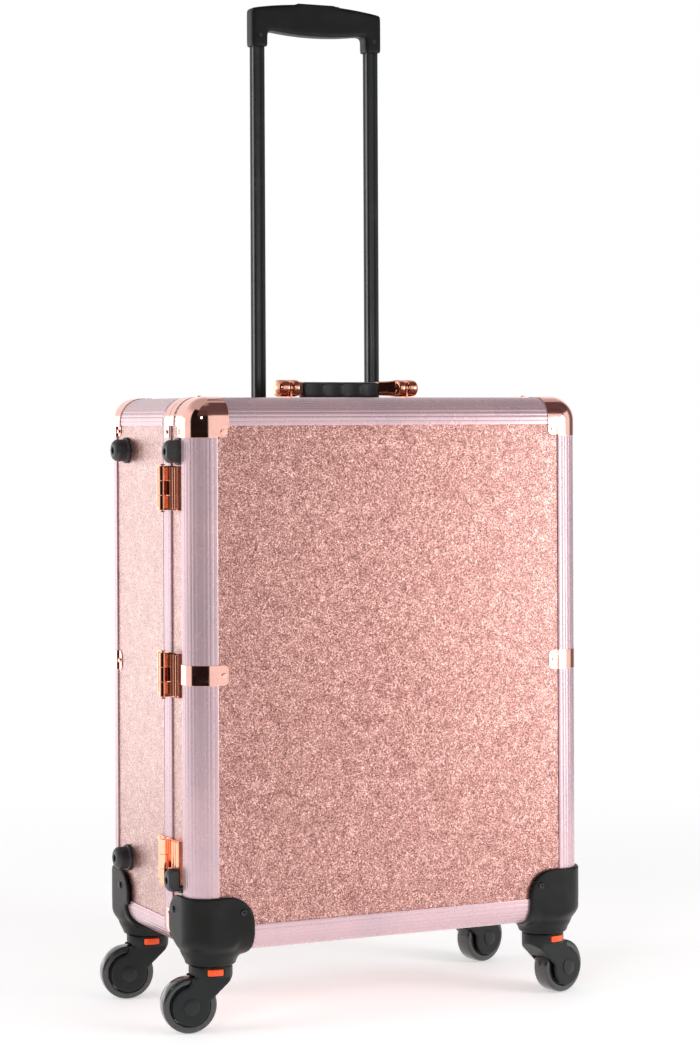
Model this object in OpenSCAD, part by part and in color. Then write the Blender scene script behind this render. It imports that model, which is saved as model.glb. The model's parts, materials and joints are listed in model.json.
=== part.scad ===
// Rolling makeup case: a framed hard case with a swinging front lid, a
// telescoping trolley handle, a folding carry handle and four casters.
// Millimetres. X is the width, +Y is the back and +Z is up. The origin is on
// the floor, under the middle of the whole part.

/* [Case] */
// Width of the case over its frame
case_w = 440; // [360:5:600]
// Depth of the case over its frame, with the lid closed
case_d = 240; // [220:5:320]
// Height of the case without its wheels
case_h = 550; // [520:5:700]
// Depth of the lid, from its front to the seam
lid_d = 58; // [56:1:76]
// Gap at the seam between the lid's frame and the case's frame
seam_gap = 0.6; // [0.4:0.1:1.2]

/* [Frame and panels] */
// Radius of the rounded aluminium edges
edge_r = 24; // [20:1:26]
// Width of the aluminium band that shows on each face
frame_band = 28; // [27:0.5:34]
// Thickness of the aluminium lip that holds a panel
lip_t = 1.5; // [1:0.1:2]
// Thickness of the panels
panel_t = 5; // [4:0.5:6]
// Width of the case's frame beside the seam
seam_band = 20; // [16:1:26]
// Depth of the solid rim in the case's seam frame
seam_rim = 10; // [6:1:14]
// Width of the lid's rim at the seam
lid_rim = 2; // [1.6:0.2:4]
// Thickness of the lid's locating tongue
tongue_t = 1.3; // [1:0.1:2]
// How far the tongue reaches into the case
tongue_len = 8; // [5:1:12]
// Thickness of the fabric lining
lining_t = 2; // [1:0.5:3]

/* [Clearances] */
// Gap between pieces that move past each other
run_gap = 0.3; // [0.2:0.05:0.5]
// Gap round a turning pin or stub, on the radius
pin_gap = 0.05; // [0.02:0.01:0.08]

/* [Caps and straps] */
// Thickness of the pressed caps and straps
cap_t = 0.8; // [0.6:0.1:1.2]
// Reach of a corner cap along each edge
cap_len = 40; // [38:1:50]
// Size of a rivet tab
tab_w = 11; // [10:1:14]
// Radius of a rivet tab's free corners
tab_r = 5; // [3:0.5:5]
// Width of a cap at the seam
seam_cap_w = 12; // [8:1:15]
// Width of a mid-height strap
strap_w = 20; // [14:1:30]
// Height of the straps' middle above the middle of the case
strap_up = 1; // [-40:1:40]
// Radius of a rivet head
rivet_r = 2.4; // [1.8:0.1:3]

/* [Corner feet] */
// Thickness of the moulded corner feet
foot_t = 4; // [3:0.5:5]
// Reach of a foot along the front or back
foot_reach = 65; // [62:1:80]
// Reach of a rear foot along the side
foot_side = 66; // [62:1:80]
// Height of a foot above the case's underside
foot_h = 58; // [50:1:58]
// Radius of a foot's upper corner on the front or back
foot_face_r = 28; // [20:1:30]
// Radius of a foot's upper corner on the side
foot_side_r = 24; // [20:1:28]
// Radius of a foot's lower corners
foot_low_r = 16; // [12:1:18]
// Distance of a caster's axis from the side of the case
socket_x = 31; // [29:1:36]
// Distance of a caster's axis from the front or back
socket_y = 32; // [29:1:36]
// Depth of a caster socket below the case
socket_drop = 12.5; // [11:0.5:16]
// Outer radius of a caster socket
socket_r = 25.5; // [24:0.5:28]

/* [Casters] */
// Radius of the wheels
wheel_r = 28; // [26:1:32]
// Width of the tyres
tyre_w = 20; // [16:1:22]
// Radius of the tyre's shoulders
shoulder_r = 4; // [2:0.5:5]
// Radius of the wheel hub
hub_r = 20; // [17:1:21]
// Width of the wheel hub
hub_w = 15; // [12:1:16]
// Distance from the swivel axis back to the axle
trail = 23; // [20:1:26]
// Distance from the case's underside down to the axle
axle_drop = 52; // [50:1:60]
// Radius of the fork's round head
fork_r = 22; // [21:0.5:23]
// Height of the fork's round head
head_h = 11; // [10:0.5:14]
// Thickness of a fork cheek
cheek_t = 4; // [3:0.5:5]
// Radius of the disc at the end of a fork cheek
cheek_r = 19; // [16:1:21]
// Gap beside the tyre and round it
tyre_gap = 1.5; // [1:0.5:3]
// Radius of the axles
axle_r = 4; // [3:0.5:5]
// Radius of the axle caps
axle_cap_r = 8; // [6:0.5:10]
// Thickness of the axle caps
axle_cap_t = 1.2; // [0.8:0.1:2]
// Radius of the stub that turns in the socket
stub_r = 7; // [5:0.5:9]
// Direction in which the left wheels trail, in degrees from +X
heading_left = 172; // [150:1:200]
// Direction in which the right wheels trail, in degrees from +X
heading_right = 17; // [-20:1:30]
// Width of a caster's release button
release_w = 16; // [12:0.5:18]
// Height of a caster's release button
release_h = 6.4; // [5:0.2:7]
// How far a release button stands out
release_out = 1; // [0.5:0.1:2]
// Depth of a release button
release_d = 9; // [7:0.5:11]
// Travel of a release button
release_travel = 2.5; // [1.5:0.1:3]

/* [Hinges] */
// Height of the lowest hinge's middle above the case's underside
hinge_low = 88; // [84:1:110]
// Height from the highest hinge's middle up to the case's top
hinge_top = 90; // [90:1:120]
// Height of a hinge
hinge_h = 44; // [36:1:56]
// Reach of a hinge's lid leaf from the seam
leaf_w = 24; // [20:1:26]
// Reach of a hinge's case leaf from the seam
case_leaf_w = 33; // [24:1:36]
// Thickness of a hinge leaf
leaf_t = 1.5; // [1.2:0.1:2]
// Distance of the hinge axis from the side of the case
hinge_out = 8; // [7:0.5:10]
// Radius of the hinge knuckles
knuckle_r = 4; // [3.5:0.1:4.5]
// Radius of the hinge, latch and rivet pins
pin_r = 1.5; // [1.2:0.1:1.8]

/* [Bumpers] */
// Radius of a bumper's dome
bumper_r = 11.5; // [9:0.5:12.5]
// Radius of a bumper's flange
bumper_flange_r = 13.5; // [13:0.5:14]
// Height of a bumper above the panel
bumper_h = 16; // [10:1:18]
// Distance of the case's bumpers behind the middle of the case
case_bumper_y = 64; // [50:1:66]
// Distance of the lid's bumpers from the front
lid_bumper_y = 35; // [34:1:40]
// Gap from a bumper to the foot below it or to the cap above it
bumper_gap = 1; // [0.5:0.5:6]

/* [Trolley] */
// Outer width of the square inner tubes
tube_w = 13; // [11:0.5:15]
// Wall of the trolley tubes
tube_wall = 1.2; // [1:0.1:1.5]
// Distance of each tube from the middle of the case
trolley_x = 67; // [60:1:90]
// Distance of the tubes' middle in front of the case's back
trolley_in = 51; // [46:1:54]
// Length of tube that shows when the trolley is out
tube_show = 375; // [300:5:420]
// Length of tube that stays inside when the trolley is out
tube_stay = 60; // [40:5:80]
// Gap left under the grip when the trolley is pushed in
stow_gap = 5; // [3:1:20]
// Depth of the trolley grip, front to back
grip_d = 20; // [19:0.5:24]
// Width of each leg of the trolley grip
grip_leg = 18.5; // [17.5:0.5:22]
// Height of the trolley grip at its ends
grip_h = 42; // [41:1:50]
// Rise of the trolley grip's crown at its middle
grip_crown = 7; // [3:0.5:9]
// Height of the space between the grip's legs
grip_gap_h = 18; // [16:0.5:20]
// Sag of the trolley grip's underside at its middle
grip_sag = 3.5; // [2:0.5:5]
// Width of the trolley button
button_w = 45; // [34:1:50]
// Depth of the trolley button, front to back
button_d = 14; // [11:0.5:15]
// Travel of the trolley button
button_travel = 4; // [2:0.5:4]

/* [Carry handle] */
// Distance from the middle of the case to the middle of each pivot
carry_x = 67; // [62:1:74]
// Distance of the carry handle's axis in front of the middle of the case
carry_y = 11; // [8:1:20]
// Height of the carry handle's axis above the case
carry_z = 10.5; // [10:0.5:12]
// Radius of the carry handle's knuckles
carry_knuckle_r = 9; // [8:0.5:9.5]
// Width of each knuckle along the axis
carry_knuckle_w = 19; // [17:0.5:22]
// Distance each knuckle reaches back from the axis
carry_knuckle_len = 21; // [20:0.5:24]
// Thickness of the lug in the middle of each knuckle
carry_lug_t = 2.6; // [2:0.1:4]
// Length of the carry grip
carry_grip_w = 86; // [76:1:92]
// Depth of the carry grip, front to back
carry_grip_d = 17; // [14:0.5:18]
// Thickness of the carry grip
carry_grip_t = 17; // [15:0.5:18]
// Depth of the finger hollows in the carry grip
finger_cut = 2.2; // [1:0.1:3]
// Width of the ridges between the finger hollows
finger_ridge = 3; // [2:0.5:6]
// Distance from the handle's axis back to the grip's middle
carry_arm = 22; // [20:0.5:28]
// Radius of the carry handle's pivot pins
carry_pin_r = 3; // [2:0.5:4]

/* [Latches] */
// Height of a latch
latch_h = 34; // [28:1:40]
// Distance of a latch's pivot behind the seam
latch_pivot = 34; // [30:1:40]
// Reach of a latch lever past the seam
latch_reach = 24; // [20:1:25]
// Thickness of a latch lever
latch_t = 2.4; // [2:0.1:3]

/* [Hidden] */
$fn = 72;

// Levels and planes of the case
ride_h = axle_drop + wheel_r;
top_z = ride_h + case_h;
left_x = -case_w / 2;
right_x = case_w / 2;
front_y = -case_d / 2;
back_y = case_d / 2;
seam_y = front_y + lid_d;
mid_z = ride_h + case_h / 2;

// The frame section: a panel sits in a slot between the lip and a flange
flange_in = lip_t + panel_t;
frame_in = max(flange_in + lip_t, edge_r - (edge_r - 1.3) / sqrt(2));
strap_z = case_h / 2 + strap_up;
slot_at = ceil(10 * (edge_r + 0.2
    - sqrt((pow(edge_r, 2) - pow(edge_r - lip_t, 2)) / 2))) / 10;
lining_in = frame_in + run_gap;
lining_cut = edge_r - lining_in
    - sqrt(pow(edge_r - run_gap, 2) - 2 * pow(edge_r - lining_in, 2));

// Casters
fork_half = tyre_w / 2 + tyre_gap + cheek_t;
head_top = ride_h - socket_drop - run_gap;
head_low = head_top - head_h;
release_z = head_low + (head_h - release_h) / 2;
swivel_x = case_w / 2 - socket_x;
swivel_y = case_d / 2 - socket_y;

// Hinges and bumpers on the left side
hinge_x = left_x - hinge_out;
hinge_z = (hinge_low + case_h - hinge_top) / 2;
hinge_pitch = hinge_z - hinge_low;
case_bumpers_at = case_bumper_y;
lid_bumpers_at = front_y + lid_bumper_y;
bumper_low = foot_h + bumper_gap + bumper_flange_r;
bumper_top = case_h - frame_band - tab_w - bumper_gap - bumper_flange_r;
leaf_low_z = ride_h + hinge_z - hinge_pitch - hinge_h / 2;

// Trolley
outer_w = tube_w + 1 + 2 * tube_wall;
trolley_y = back_y - trolley_in;
grip_z = top_z + tube_show;
grip_half = trolley_x + grip_leg / 2;
tube_low = top_z - tube_stay;
plug_h = 18;
trolley_travel = tube_show - stow_gap;
outer_len = tube_stay + plug_h + trolley_travel + 5;
tube_top = grip_z + grip_gap_h + 2;
bar_t = 4;
bar_low = tube_top + button_travel + 1;
bar_d = 6;
bar_half = trolley_x + 3;
button_low = bar_low + bar_t + 6;
collar_w = 34;
collar_d = 22;

// Carry handle
carry_axis_z = top_z + carry_z;
carry_base_w = 30;
carry_base_d = 32;
carry_grip_low = top_z + run_gap;
carry_arm_t = 11;

// Latches
latch_pin_out = leaf_t + 3;
lever_in = leaf_t + run_gap + 1;
keeper_lip = 2;

// How far each side reaches from the middle, which centres the origin
function wheel_reach(a) = trail * cos(a) + (wheel_r - shoulder_r) * abs(cos(a))
    + (tyre_w / 2 - shoulder_r) * abs(sin(a)) + shoulder_r;
left_reach = max(swivel_x + wheel_reach(180 - heading_left),
    case_w / 2 - lip_t + bumper_h, case_w / 2 + hinge_out + knuckle_r);
right_reach = swivel_x + wheel_reach(heading_right);
centre_x = (right_reach - left_reach) / 2;

// Colours
rose = [0.85, 0.62, 0.58];
lilac = [0.84, 0.76, 0.80];
copper = [0.86, 0.52, 0.42];
black = [0.10, 0.10, 0.11];
soft_black = [0.06, 0.06, 0.07];
orange = [0.95, 0.25, 0.08];
steel = [0.62, 0.62, 0.64];
cloth = [0.16, 0.14, 0.15];

// Shared placing

module centred() {
    translate([-centre_x, 0, 0]) children();
}

module both_x() {
    children();
    mirror([1, 0, 0]) children();
}

module low_and_high() {
    children();
    translate([0, 0, 2 * mid_z]) mirror([0, 0, 1]) children();
}

module to_back() {
    mirror([0, 1, 0]) children();
}

// Runs a section drawn in X and Z along +Y, from y0 to y1
module along_y(y0, y1) {
    translate([0, y1, 0]) rotate([90, 0, 0]) linear_extrude(y1 - y0) children();
}

// Runs a section drawn in Y and Z along +X, from x0 to x1
module along_x(x0, x1) {
    translate([x0, 0, 0]) rotate([90, 0, 90]) linear_extrude(x1 - x0) children();
}

// Shared sections

module pie(r) {
    intersection() {
        circle(r);
        square(r);
    }
}

// A square with its corner at the origin rounded
module round_corner(w, r) {
    translate([r, r]) rotate(180) pie(r);
    translate([r, 0]) square([w - r, w]);
    translate([0, r]) square([r, w - r]);
}

// A quarter ring between two radii, bulging towards the origin's far side
module quarter_ring(r, t) {
    difference() {
        rotate(180) pie(r + t);
        circle(r);
    }
}

// A rectangle with its two right-hand corners rounded
module round_end(x0, x1, z0, z1, r_top, r_low) {
    translate([x0, z0 + r_low]) square([x1 - x0, z1 - r_top - z0 - r_low]);
    translate([x0, z1 - r_top]) square([x1 - x0 - r_top, r_top]);
    translate([x1 - r_top, z1 - r_top]) pie(r_top);
    translate([x0, z0]) square([x1 - x0 - r_low, r_low]);
    translate([x1 - r_low, z0 + r_low]) rotate(-90) pie(r_low);
}

// The outline of the case seen from the front, taken in by an inset
module case_outline(inset) {
    w = case_w - 2 * inset;
    h = case_h - 2 * inset;
    r = edge_r - inset;
    translate([0, mid_z]) {
        square([w - 2 * r, h], center = true);
        square([w, h - 2 * r], center = true);
        for (a = [0, 180]) {
            rotate(a) translate([w / 2 - r, h / 2 - r]) pie(r);
            rotate(a) translate([r - w / 2, h / 2 - r]) rotate(90) pie(r);
        }
    }
}

// A band of the case's outline between two insets, from y0 to y1
module outline_ring(inset_a, inset_b, y0, y1) {
    along_y(y0, y1) difference() {
        case_outline(inset_a);
        case_outline(inset_b);
    }
}

// A solid block from the origin whose three near edges are rounded
module inner_block(r, x, y, z) {
    translate([r, r, 0]) cube([x - r, y - r, z]);
    translate([0, r, r]) cube([r, y - r, z - r]);
    translate([r, 0, r]) cube([x - r, r, z - r]);
    translate([r, r, r]) linear_extrude(z - r) rotate(180) pie(r);
    along_x(r, x) translate([r, r]) rotate(180) pie(r);
    along_y(r, y) translate([r, r]) rotate(180) pie(r);
    at_octant(r) rotate_extrude(angle = 90) pie(r);
}

// Turns an octant drawn at the origin to face the corner at the origin
module at_octant(r) {
    translate([r, r, r]) mirror([1, 0, 0]) mirror([0, 1, 0]) mirror([0, 0, 1])
        children();
}

// A skin of thickness t on a ball corner of radius r
module octant_shell(r, t) {
    at_octant(r) rotate_extrude(angle = 90) intersection() {
        difference() {
            circle(r + t);
            circle(r);
        }
        square(r + t);
    }
}

// A skin of thickness t on the rounded edge along X, from r to x1
module edge_shell(r, t, x1) {
    along_x(r, x1) translate([r, r]) quarter_ring(r, t);
}

// A skin that wraps a corner to a given reach along X, Y and Z
module corner_shell(t, x, y, z) {
    r = edge_r;
    octant_shell(r, t);
    edge_shell(r, t, x);
    rotate([-90, -90, 0]) edge_shell(r, t, y);
    rotate([90, 0, 90]) edge_shell(r, t, z);
}

// Moves a corner piece to the front, left, lower corner of the case
module at_corner() {
    translate([left_x, front_y, ride_h]) children();
}

// Panels and frame

module frame_section() {
    difference() {
        round_corner(frame_band, edge_r);
        translate([slot_at, lip_t]) square([frame_band, panel_t]);
        translate([lip_t, slot_at]) square([panel_t, frame_band]);
        translate([frame_in, frame_in]) square(frame_band);
    }
}

module face_panel() {
    w = case_w - 2 * slot_at;
    translate([-w / 2, front_y + lip_t, ride_h + slot_at])
        cube([w, panel_t, case_h - 2 * slot_at]);
}

module side_panel(y0, y1) {
    translate([left_x + lip_t, y0, ride_h + slot_at])
        cube([panel_t, y1 - y0, case_h - 2 * slot_at]);
}

module end_panel(y0, y1) {
    w = case_w - 2 * slot_at;
    translate([-w / 2, y0, ride_h + lip_t]) cube([w, y1 - y0, panel_t]);
}

// The four bars round the front or back face
module face_bars() {
    half = case_w / 2 - frame_band;
    both_x() translate([left_x, front_y, ride_h + frame_band])
        linear_extrude(case_h - 2 * frame_band) frame_section();
    low_and_high() translate([0, front_y, ride_h])
        along_x(-half, half) frame_section();
}

// The four bars along the long edges, from y0 to y1
module edge_bars(y0, y1) {
    both_x() low_and_high() translate([left_x, 0, ride_h])
        along_y(y0, y1) frame_section();
}

module back_panel() {
    color(rose) centred() to_back() face_panel();
}

module side_panels() {
    color(rose) centred() both_x() case_side();
}

module case_side() {
    side_panel(seam_y + seam_rim, back_y - slot_at);
}

module case_end() {
    end_panel(seam_y + seam_rim, back_y - slot_at);
}

module top_panel() {
    hole = outer_w;
    color(rose) centred() difference() {
        translate([0, 0, 2 * mid_z]) mirror([0, 0, 1]) case_end();
        both_x() translate([trolley_x - hole / 2, trolley_y - hole / 2, mid_z])
            cube([hole, hole, case_h]);
    }
}

module bottom_panel() {
    color(rose) centred() case_end();
}

module frame_bars() {
    color(lilac) centred() {
        to_back() face_bars();
        edge_bars(seam_y + seam_band, back_y - frame_band);
    }
}

module seam_frame() {
    color(lilac) centred() difference() {
        outline_ring(0, frame_in, seam_y + seam_gap / 2, seam_y + seam_band);
        both_x() case_side();
        low_and_high() case_end();
    }
}

module lid_front_panel() {
    color(rose) centred() face_panel();
}

module lid_wall_panels() {
    color(rose) centred() {
        both_x() side_panel(front_y + slot_at, seam_y - lid_rim);
        low_and_high() end_panel(front_y + slot_at, seam_y - lid_rim);
    }
}

module lid_frame_bars() {
    color(lilac) centred() {
        face_bars();
        edge_bars(front_y + frame_band, seam_y - lid_rim);
    }
}

module lid_seam_frame() {
    tongue_in = frame_in + run_gap;
    color(lilac) centred() {
        outline_ring(0, tongue_in + tongue_t, seam_y - lid_rim, seam_y - seam_gap / 2);
        outline_ring(tongue_in, tongue_in + tongue_t, seam_y - seam_gap / 2,
            seam_y + tongue_len);
    }
}

// Lining

// A board's outline with its two corners at x0 cut off
module cut_board(x0, x1, h, cut) {
    polygon([[x0 + cut, 0], [x1, 0], [x1, h], [x0 + cut, h], [x0, h - cut], [x0, cut]]);
}

// A tray of five boards, with its back board at y0 and its mouth at y1
module lining_tray(y0, y1, cut) {
    half = case_w / 2 - lining_in;
    h = case_h - 2 * lining_in;
    t = lining_t;
    side_y = y0 + t + run_gap;
    end_half = half - t - run_gap;
    translate([0, 0, ride_h + lining_in]) {
        along_y(y0, y0 + t) {
            cut_board(-half, 0, h, cut);
            mirror([1, 0]) cut_board(-half, 0, h, cut);
        }
        both_x() along_x(half - t, half) cut_board(side_y, y1, h, cut);
    }
    low_and_high() translate([0, 0, ride_h + lining_in]) linear_extrude(t)
        translate([end_half, 0]) rotate(90) cut_board(side_y, y1, 2 * end_half, cut);
}

module case_lining() {
    depth = trolley_y - outer_w / 2 - run_gap;
    color(cloth) centred() to_back()
        lining_tray(-depth, -(seam_y + seam_band + run_gap), 0);
}

module lid_lining() {
    color(cloth) centred()
        lining_tray(front_y + lining_in, seam_y - lid_rim - run_gap, lining_cut);
}

// Caps, straps and rivets

// A rivet tab stepped down from the frame's surface to the panel
module rivet_tab(w, len) {
    translate([frame_band, -w / 2, -cap_t]) cube([cap_t, w, cap_t + lip_t]);
    translate([0, 0, lip_t - cap_t]) linear_extrude(cap_t)
        round_end(frame_band, frame_band + len, -w / 2, w / 2, tab_r, tab_r);
}

// The tab in the angle of a corner cap's flat, with its free corner rounded
module corner_tab() {
    translate([frame_band, frame_band, -cap_t]) {
        cube([cap_t, tab_w, cap_t + lip_t]);
        cube([tab_w, cap_t, cap_t + lip_t]);
        translate([tab_w, tab_w, lip_t]) linear_extrude(cap_t)
            rotate(180) round_corner(tab_w, tab_r);
    }
}

// Turns what is drawn on the underside of a corner to its three faces
module on_three_faces() {
    children();
    rotate([90, 0, 90]) children();
    rotate([-90, -90, 0]) children();
}

// The flat L on one face of a corner cap
module cap_flat() {
    translate([edge_r, edge_r, -cap_t]) linear_extrude(cap_t) {
        square([cap_len - edge_r, frame_band - edge_r]);
        square([frame_band - edge_r, cap_len - edge_r]);
    }
}

module corner_cap() {
    corner_shell(cap_t, cap_len, cap_len, cap_len);
    on_three_faces() {
        cap_flat();
        corner_tab();
    }
}

// A section that hugs a long edge: an arc and two flats of a given reach
module edge_strip(reach) {
    translate([edge_r, edge_r]) quarter_ring(edge_r, cap_t);
    translate([edge_r, -cap_t]) square([reach - edge_r, cap_t]);
    translate([-cap_t, edge_r]) square([cap_t, reach - edge_r]);
}

module seam_cap(y0, reach) {
    translate([left_x, 0, ride_h]) along_y(y0, y0 + seam_cap_w) edge_strip(reach);
}

// A strap that wraps a vertical edge, with its tab on the wide face
module strap() {
    translate([0, 0, strap_z - strap_w / 2]) linear_extrude(strap_w)
        edge_strip(frame_band);
    translate([0, 0, strap_z]) rotate([-90, 0, 0]) rivet_tab(strap_w, tab_w);
}

module strap_side_tab() {
    translate([0, 0, strap_z]) mirror([1, -1, 0]) rotate([-90, 0, 0])
        rivet_tab(strap_w, tab_w);
}

module case_edge_caps() {
    color(copper) centred() both_x() {
        translate([0, 0, 2 * mid_z]) mirror([0, 0, 1]) to_back()
            at_corner() corner_cap();
        low_and_high() seam_cap(seam_y + seam_gap / 2, cap_len);
        to_back() at_corner() {
            strap();
            strap_side_tab();
        }
    }
}

// The lid's left strap has no side tab, because the middle hinge is there
module lid_edge_caps() {
    color(copper) centred() {
        both_x() {
            translate([0, 0, 2 * mid_z]) mirror([0, 0, 1]) {
                at_corner() corner_cap();
                seam_cap(seam_y - seam_gap / 2 - seam_cap_w, frame_band);
            }
            at_corner() strap();
        }
        mirror([1, 0, 0]) at_corner() strap_side_tab();
    }
}

// A rivet head that stands up from the origin
module rivet() {
    rotate_extrude() {
        square([rivet_r, 0.5]);
        translate([0, 0.5]) square([rivet_r - 0.8, 0.8]);
        translate([rivet_r - 0.8, 0.5]) pie(0.8);
    }
}

// The three rivets of a corner cap, each on its tab
module corner_rivets() {
    at = frame_band + (tab_w + cap_t) / 2;
    on_three_faces() translate([at, at, lip_t - cap_t]) mirror([0, 0, 1]) rivet();
}

// The rivet on the wide face of a strap
module strap_rivet() {
    at = frame_band + (tab_w + cap_t) / 2;
    translate([at, lip_t - cap_t, strap_z]) rotate([90, 0, 0]) rivet();
}

// The two rivets of a case seam cap, near its ends
module seam_cap_rivets() {
    at = cap_len - tab_w / 2;
    y = seam_y + (seam_gap + seam_cap_w) / 2;
    translate([left_x + at, y, ride_h - cap_t]) mirror([0, 0, 1]) rivet();
    translate([left_x - cap_t, y, ride_h + at]) rotate([0, -90, 0]) rivet();
}

module case_rivets() {
    color(copper) centred() both_x() {
        translate([0, 0, 2 * mid_z]) mirror([0, 0, 1]) to_back()
            at_corner() corner_rivets();
        to_back() at_corner() {
            strap_rivet();
            mirror([1, -1, 0]) strap_rivet();
        }
        low_and_high() seam_cap_rivets();
    }
}

module lid_rivets() {
    color(copper) centred() {
        both_x() {
            translate([0, 0, 2 * mid_z]) mirror([0, 0, 1]) at_corner() corner_rivets();
            at_corner() strap_rivet();
        }
        mirror([1, 0, 0]) at_corner() mirror([1, -1, 0]) strap_rivet();
    }
}

// Corner feet with their caster sockets

// One flat side of a foot, on the underside of the corner
module foot_flat(x, y) {
    translate([edge_r, edge_r, -foot_t]) cube([x - edge_r, y - edge_r, foot_t]);
}

// The moulded skin of a foot, with its outer corners rounded
module foot_skin(side_reach) {
    out = 2 * foot_t;
    intersection() {
        union() {
            corner_shell(foot_t, foot_reach, side_reach, foot_h);
            foot_flat(foot_reach, side_reach);
            rotate([90, 0, 90]) foot_flat(side_reach, foot_h);
            rotate([-90, -90, 0]) foot_flat(foot_h, foot_reach);
        }
        along_y(-out, side_reach + out)
            round_end(-out, foot_reach, -out, foot_h, foot_face_r, foot_low_r);
        along_x(-out, foot_reach + out)
            round_end(-out, side_reach, -out, foot_h, foot_side_r, foot_low_r);
    }
}

// The round socket and its flared neck, trimmed to the case and the foot's side
module socket(side_reach) {
    neck_z = 3 - socket_drop;
    difference() {
        union() {
            translate([socket_x, socket_y, -socket_drop])
                cylinder(r = socket_r, h = socket_drop + foot_t);
            translate([socket_x, socket_y, neck_z])
                cylinder(r1 = socket_r, r2 = socket_r + 5, h = -neck_z);
        }
        inner_block(edge_r, 2 * foot_reach, 2 * foot_reach, foot_h);
        translate([-foot_reach, side_reach, -2 * socket_drop])
            cube([3 * foot_reach, foot_reach, 4 * socket_drop]);
    }
}

// A foot for the front, left corner, with its own reach along the side
module corner_foot(side_reach) {
    difference() {
        union() {
            foot_skin(side_reach);
            socket(side_reach);
        }
        translate([socket_x, socket_y, -2 * socket_drop])
            cylinder(r = stub_r + pin_gap, h = 4 * socket_drop);
    }
}

// The pan-head screws of a foot, one on each outer face
module foot_screws(side_at) {
    translate([foot_reach - 13, -foot_t, foot_h - 16]) rotate([90, 0, 0]) screw_head();
    translate([-foot_t, side_at, foot_h - 16]) rotate([0, -90, 0]) screw_head();
}

module screw_head() {
    difference() {
        union() {
            cylinder(r = 3.4, h = 0.8);
            translate([0, 0, 0.8]) cylinder(r1 = 3.4, r2 = 2.4, h = 0.8);
        }
        translate([0, 0, 1]) cube([3, 0.7, 2], center = true);
        translate([0, 0, 1]) cube([0.7, 3, 2], center = true);
    }
}

lid_side_reach = lid_d - seam_gap / 2;
foot_side_at = 44;

module rear_corner_feet() {
    color(black) centred() both_x() to_back() at_corner() corner_foot(foot_side);
}

module front_corner_feet() {
    color(black) centred() both_x() at_corner() corner_foot(lid_side_reach);
}

module rear_foot_screws() {
    color(steel) centred() both_x() to_back() at_corner() foot_screws(foot_side_at);
}

module front_foot_screws() {
    color(steel) centred() both_x() at_corner() foot_screws(foot_side_at);
}

// Hinges on the left side

module at_hinges() {
    for (k = [-1, 0, 1])
        translate([hinge_x, seam_y, ride_h + hinge_z + k * hinge_pitch]) children();
}

// A leaf on the +Y side of the axis, with its ribs and the pad that backs its far part
module hinge_leaf(reach, pad_from) {
    y0 = seam_gap / 2;
    translate([hinge_out - leaf_t, y0, -hinge_h / 2])
        cube([leaf_t, reach - y0, hinge_h]);
    translate([hinge_out, pad_from, -hinge_h / 2])
        cube([lip_t, reach - pad_from, hinge_h]);
    for (k = [1 : 3])
        translate([hinge_out - leaf_t, k * reach / 3.6, 1.5 - hinge_h / 2])
            cylinder(r = 1.3, h = hinge_h - 3);
}

// One knuckle from z0 to z1 and the web that joins it to its leaf
module knuckle(z0, z1, bore) {
    difference() {
        union() {
            translate([0, 0, z0]) cylinder(r = knuckle_r, h = z1 - z0);
            translate([0, seam_gap / 2, z0])
                cube([hinge_out, knuckle_r - seam_gap / 2, z1 - z0]);
        }
        translate([0, 0, z0 - 1]) cylinder(r = bore, h = z1 - z0 + 2);
    }
}

module hinge_case_leaves() {
    third = hinge_h / 6 - run_gap / 2;
    color(copper) centred() at_hinges() {
        hinge_leaf(case_leaf_w, seam_band);
        knuckle(-third, third, pin_r);
    }
}

module hinge_lid_leaves() {
    third = hinge_h / 6 + run_gap / 2;
    color(copper) centred() at_hinges() mirror([0, 1, 0]) {
        hinge_leaf(leaf_w, lid_rim);
        knuckle(third, hinge_h / 2, pin_r + pin_gap);
        knuckle(-hinge_h / 2, -third, pin_r + pin_gap);
    }
}

// Rubber bumpers on the left side

module bumper() {
    rim = bumper_r / 2;
    rotate([0, -90, 0]) rotate([0, 0, 37]) rotate_extrude() difference() {
        union() {
            square([bumper_flange_r, 3]);
            square([bumper_r, bumper_h - rim]);
            square([bumper_r - rim, bumper_h]);
            translate([bumper_r - rim, bumper_h - rim]) pie(rim);
        }
        translate([0, bumper_h - 5]) square([3.5, 6]);
    }
}

module bumpers_at(y) {
    for (z = [bumper_low, bumper_top])
        translate([left_x + lip_t, y, ride_h + z]) bumper();
}

module case_bumpers() {
    color(soft_black) centred() bumpers_at(case_bumpers_at);
}

// The lid's bumpers are cut flat at the frame's lip and round the hinge leaf
module lid_bumpers() {
    lip_y = front_y + frame_band + run_gap;
    color(soft_black) centred() difference() {
        bumpers_at(lid_bumpers_at);
        translate([left_x - case_w, front_y - case_d, 0])
            cube([2 * case_w, case_d + frame_band + run_gap, 2 * case_h]);
        translate([left_x - leaf_t - 2, lip_y, leaf_low_z - run_gap])
            cube([bumper_h, seam_y - lip_y, hinge_h + 2 * run_gap]);
    }
}

// Trolley: parts that stay in the case

module square_tube(w, wall, len) {
    difference() {
        translate([-w / 2, -w / 2, 0]) cube([w, w, len]);
        translate([wall - w / 2, wall - w / 2, -1])
            cube([w - 2 * wall, w - 2 * wall, len + 2]);
    }
}

module at_tubes(z) {
    for (side = [-1, 1]) translate([side * trolley_x, trolley_y, z]) children();
}

module trolley_outer_tubes() {
    color(steel) centred() at_tubes(top_z - lip_t - outer_len)
        square_tube(outer_w, tube_wall, outer_len);
}

module trolley_collars() {
    hole = tube_w + 2 * run_gap;
    color(black) centred() at_tubes(top_z - lip_t) difference() {
        translate([-collar_w / 2, -collar_d / 2, 0]) cube([collar_w, collar_d, lip_t]);
        translate([-hole / 2, -hole / 2, -1]) cube([hole, hole, 4 * lip_t]);
    }
}

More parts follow.
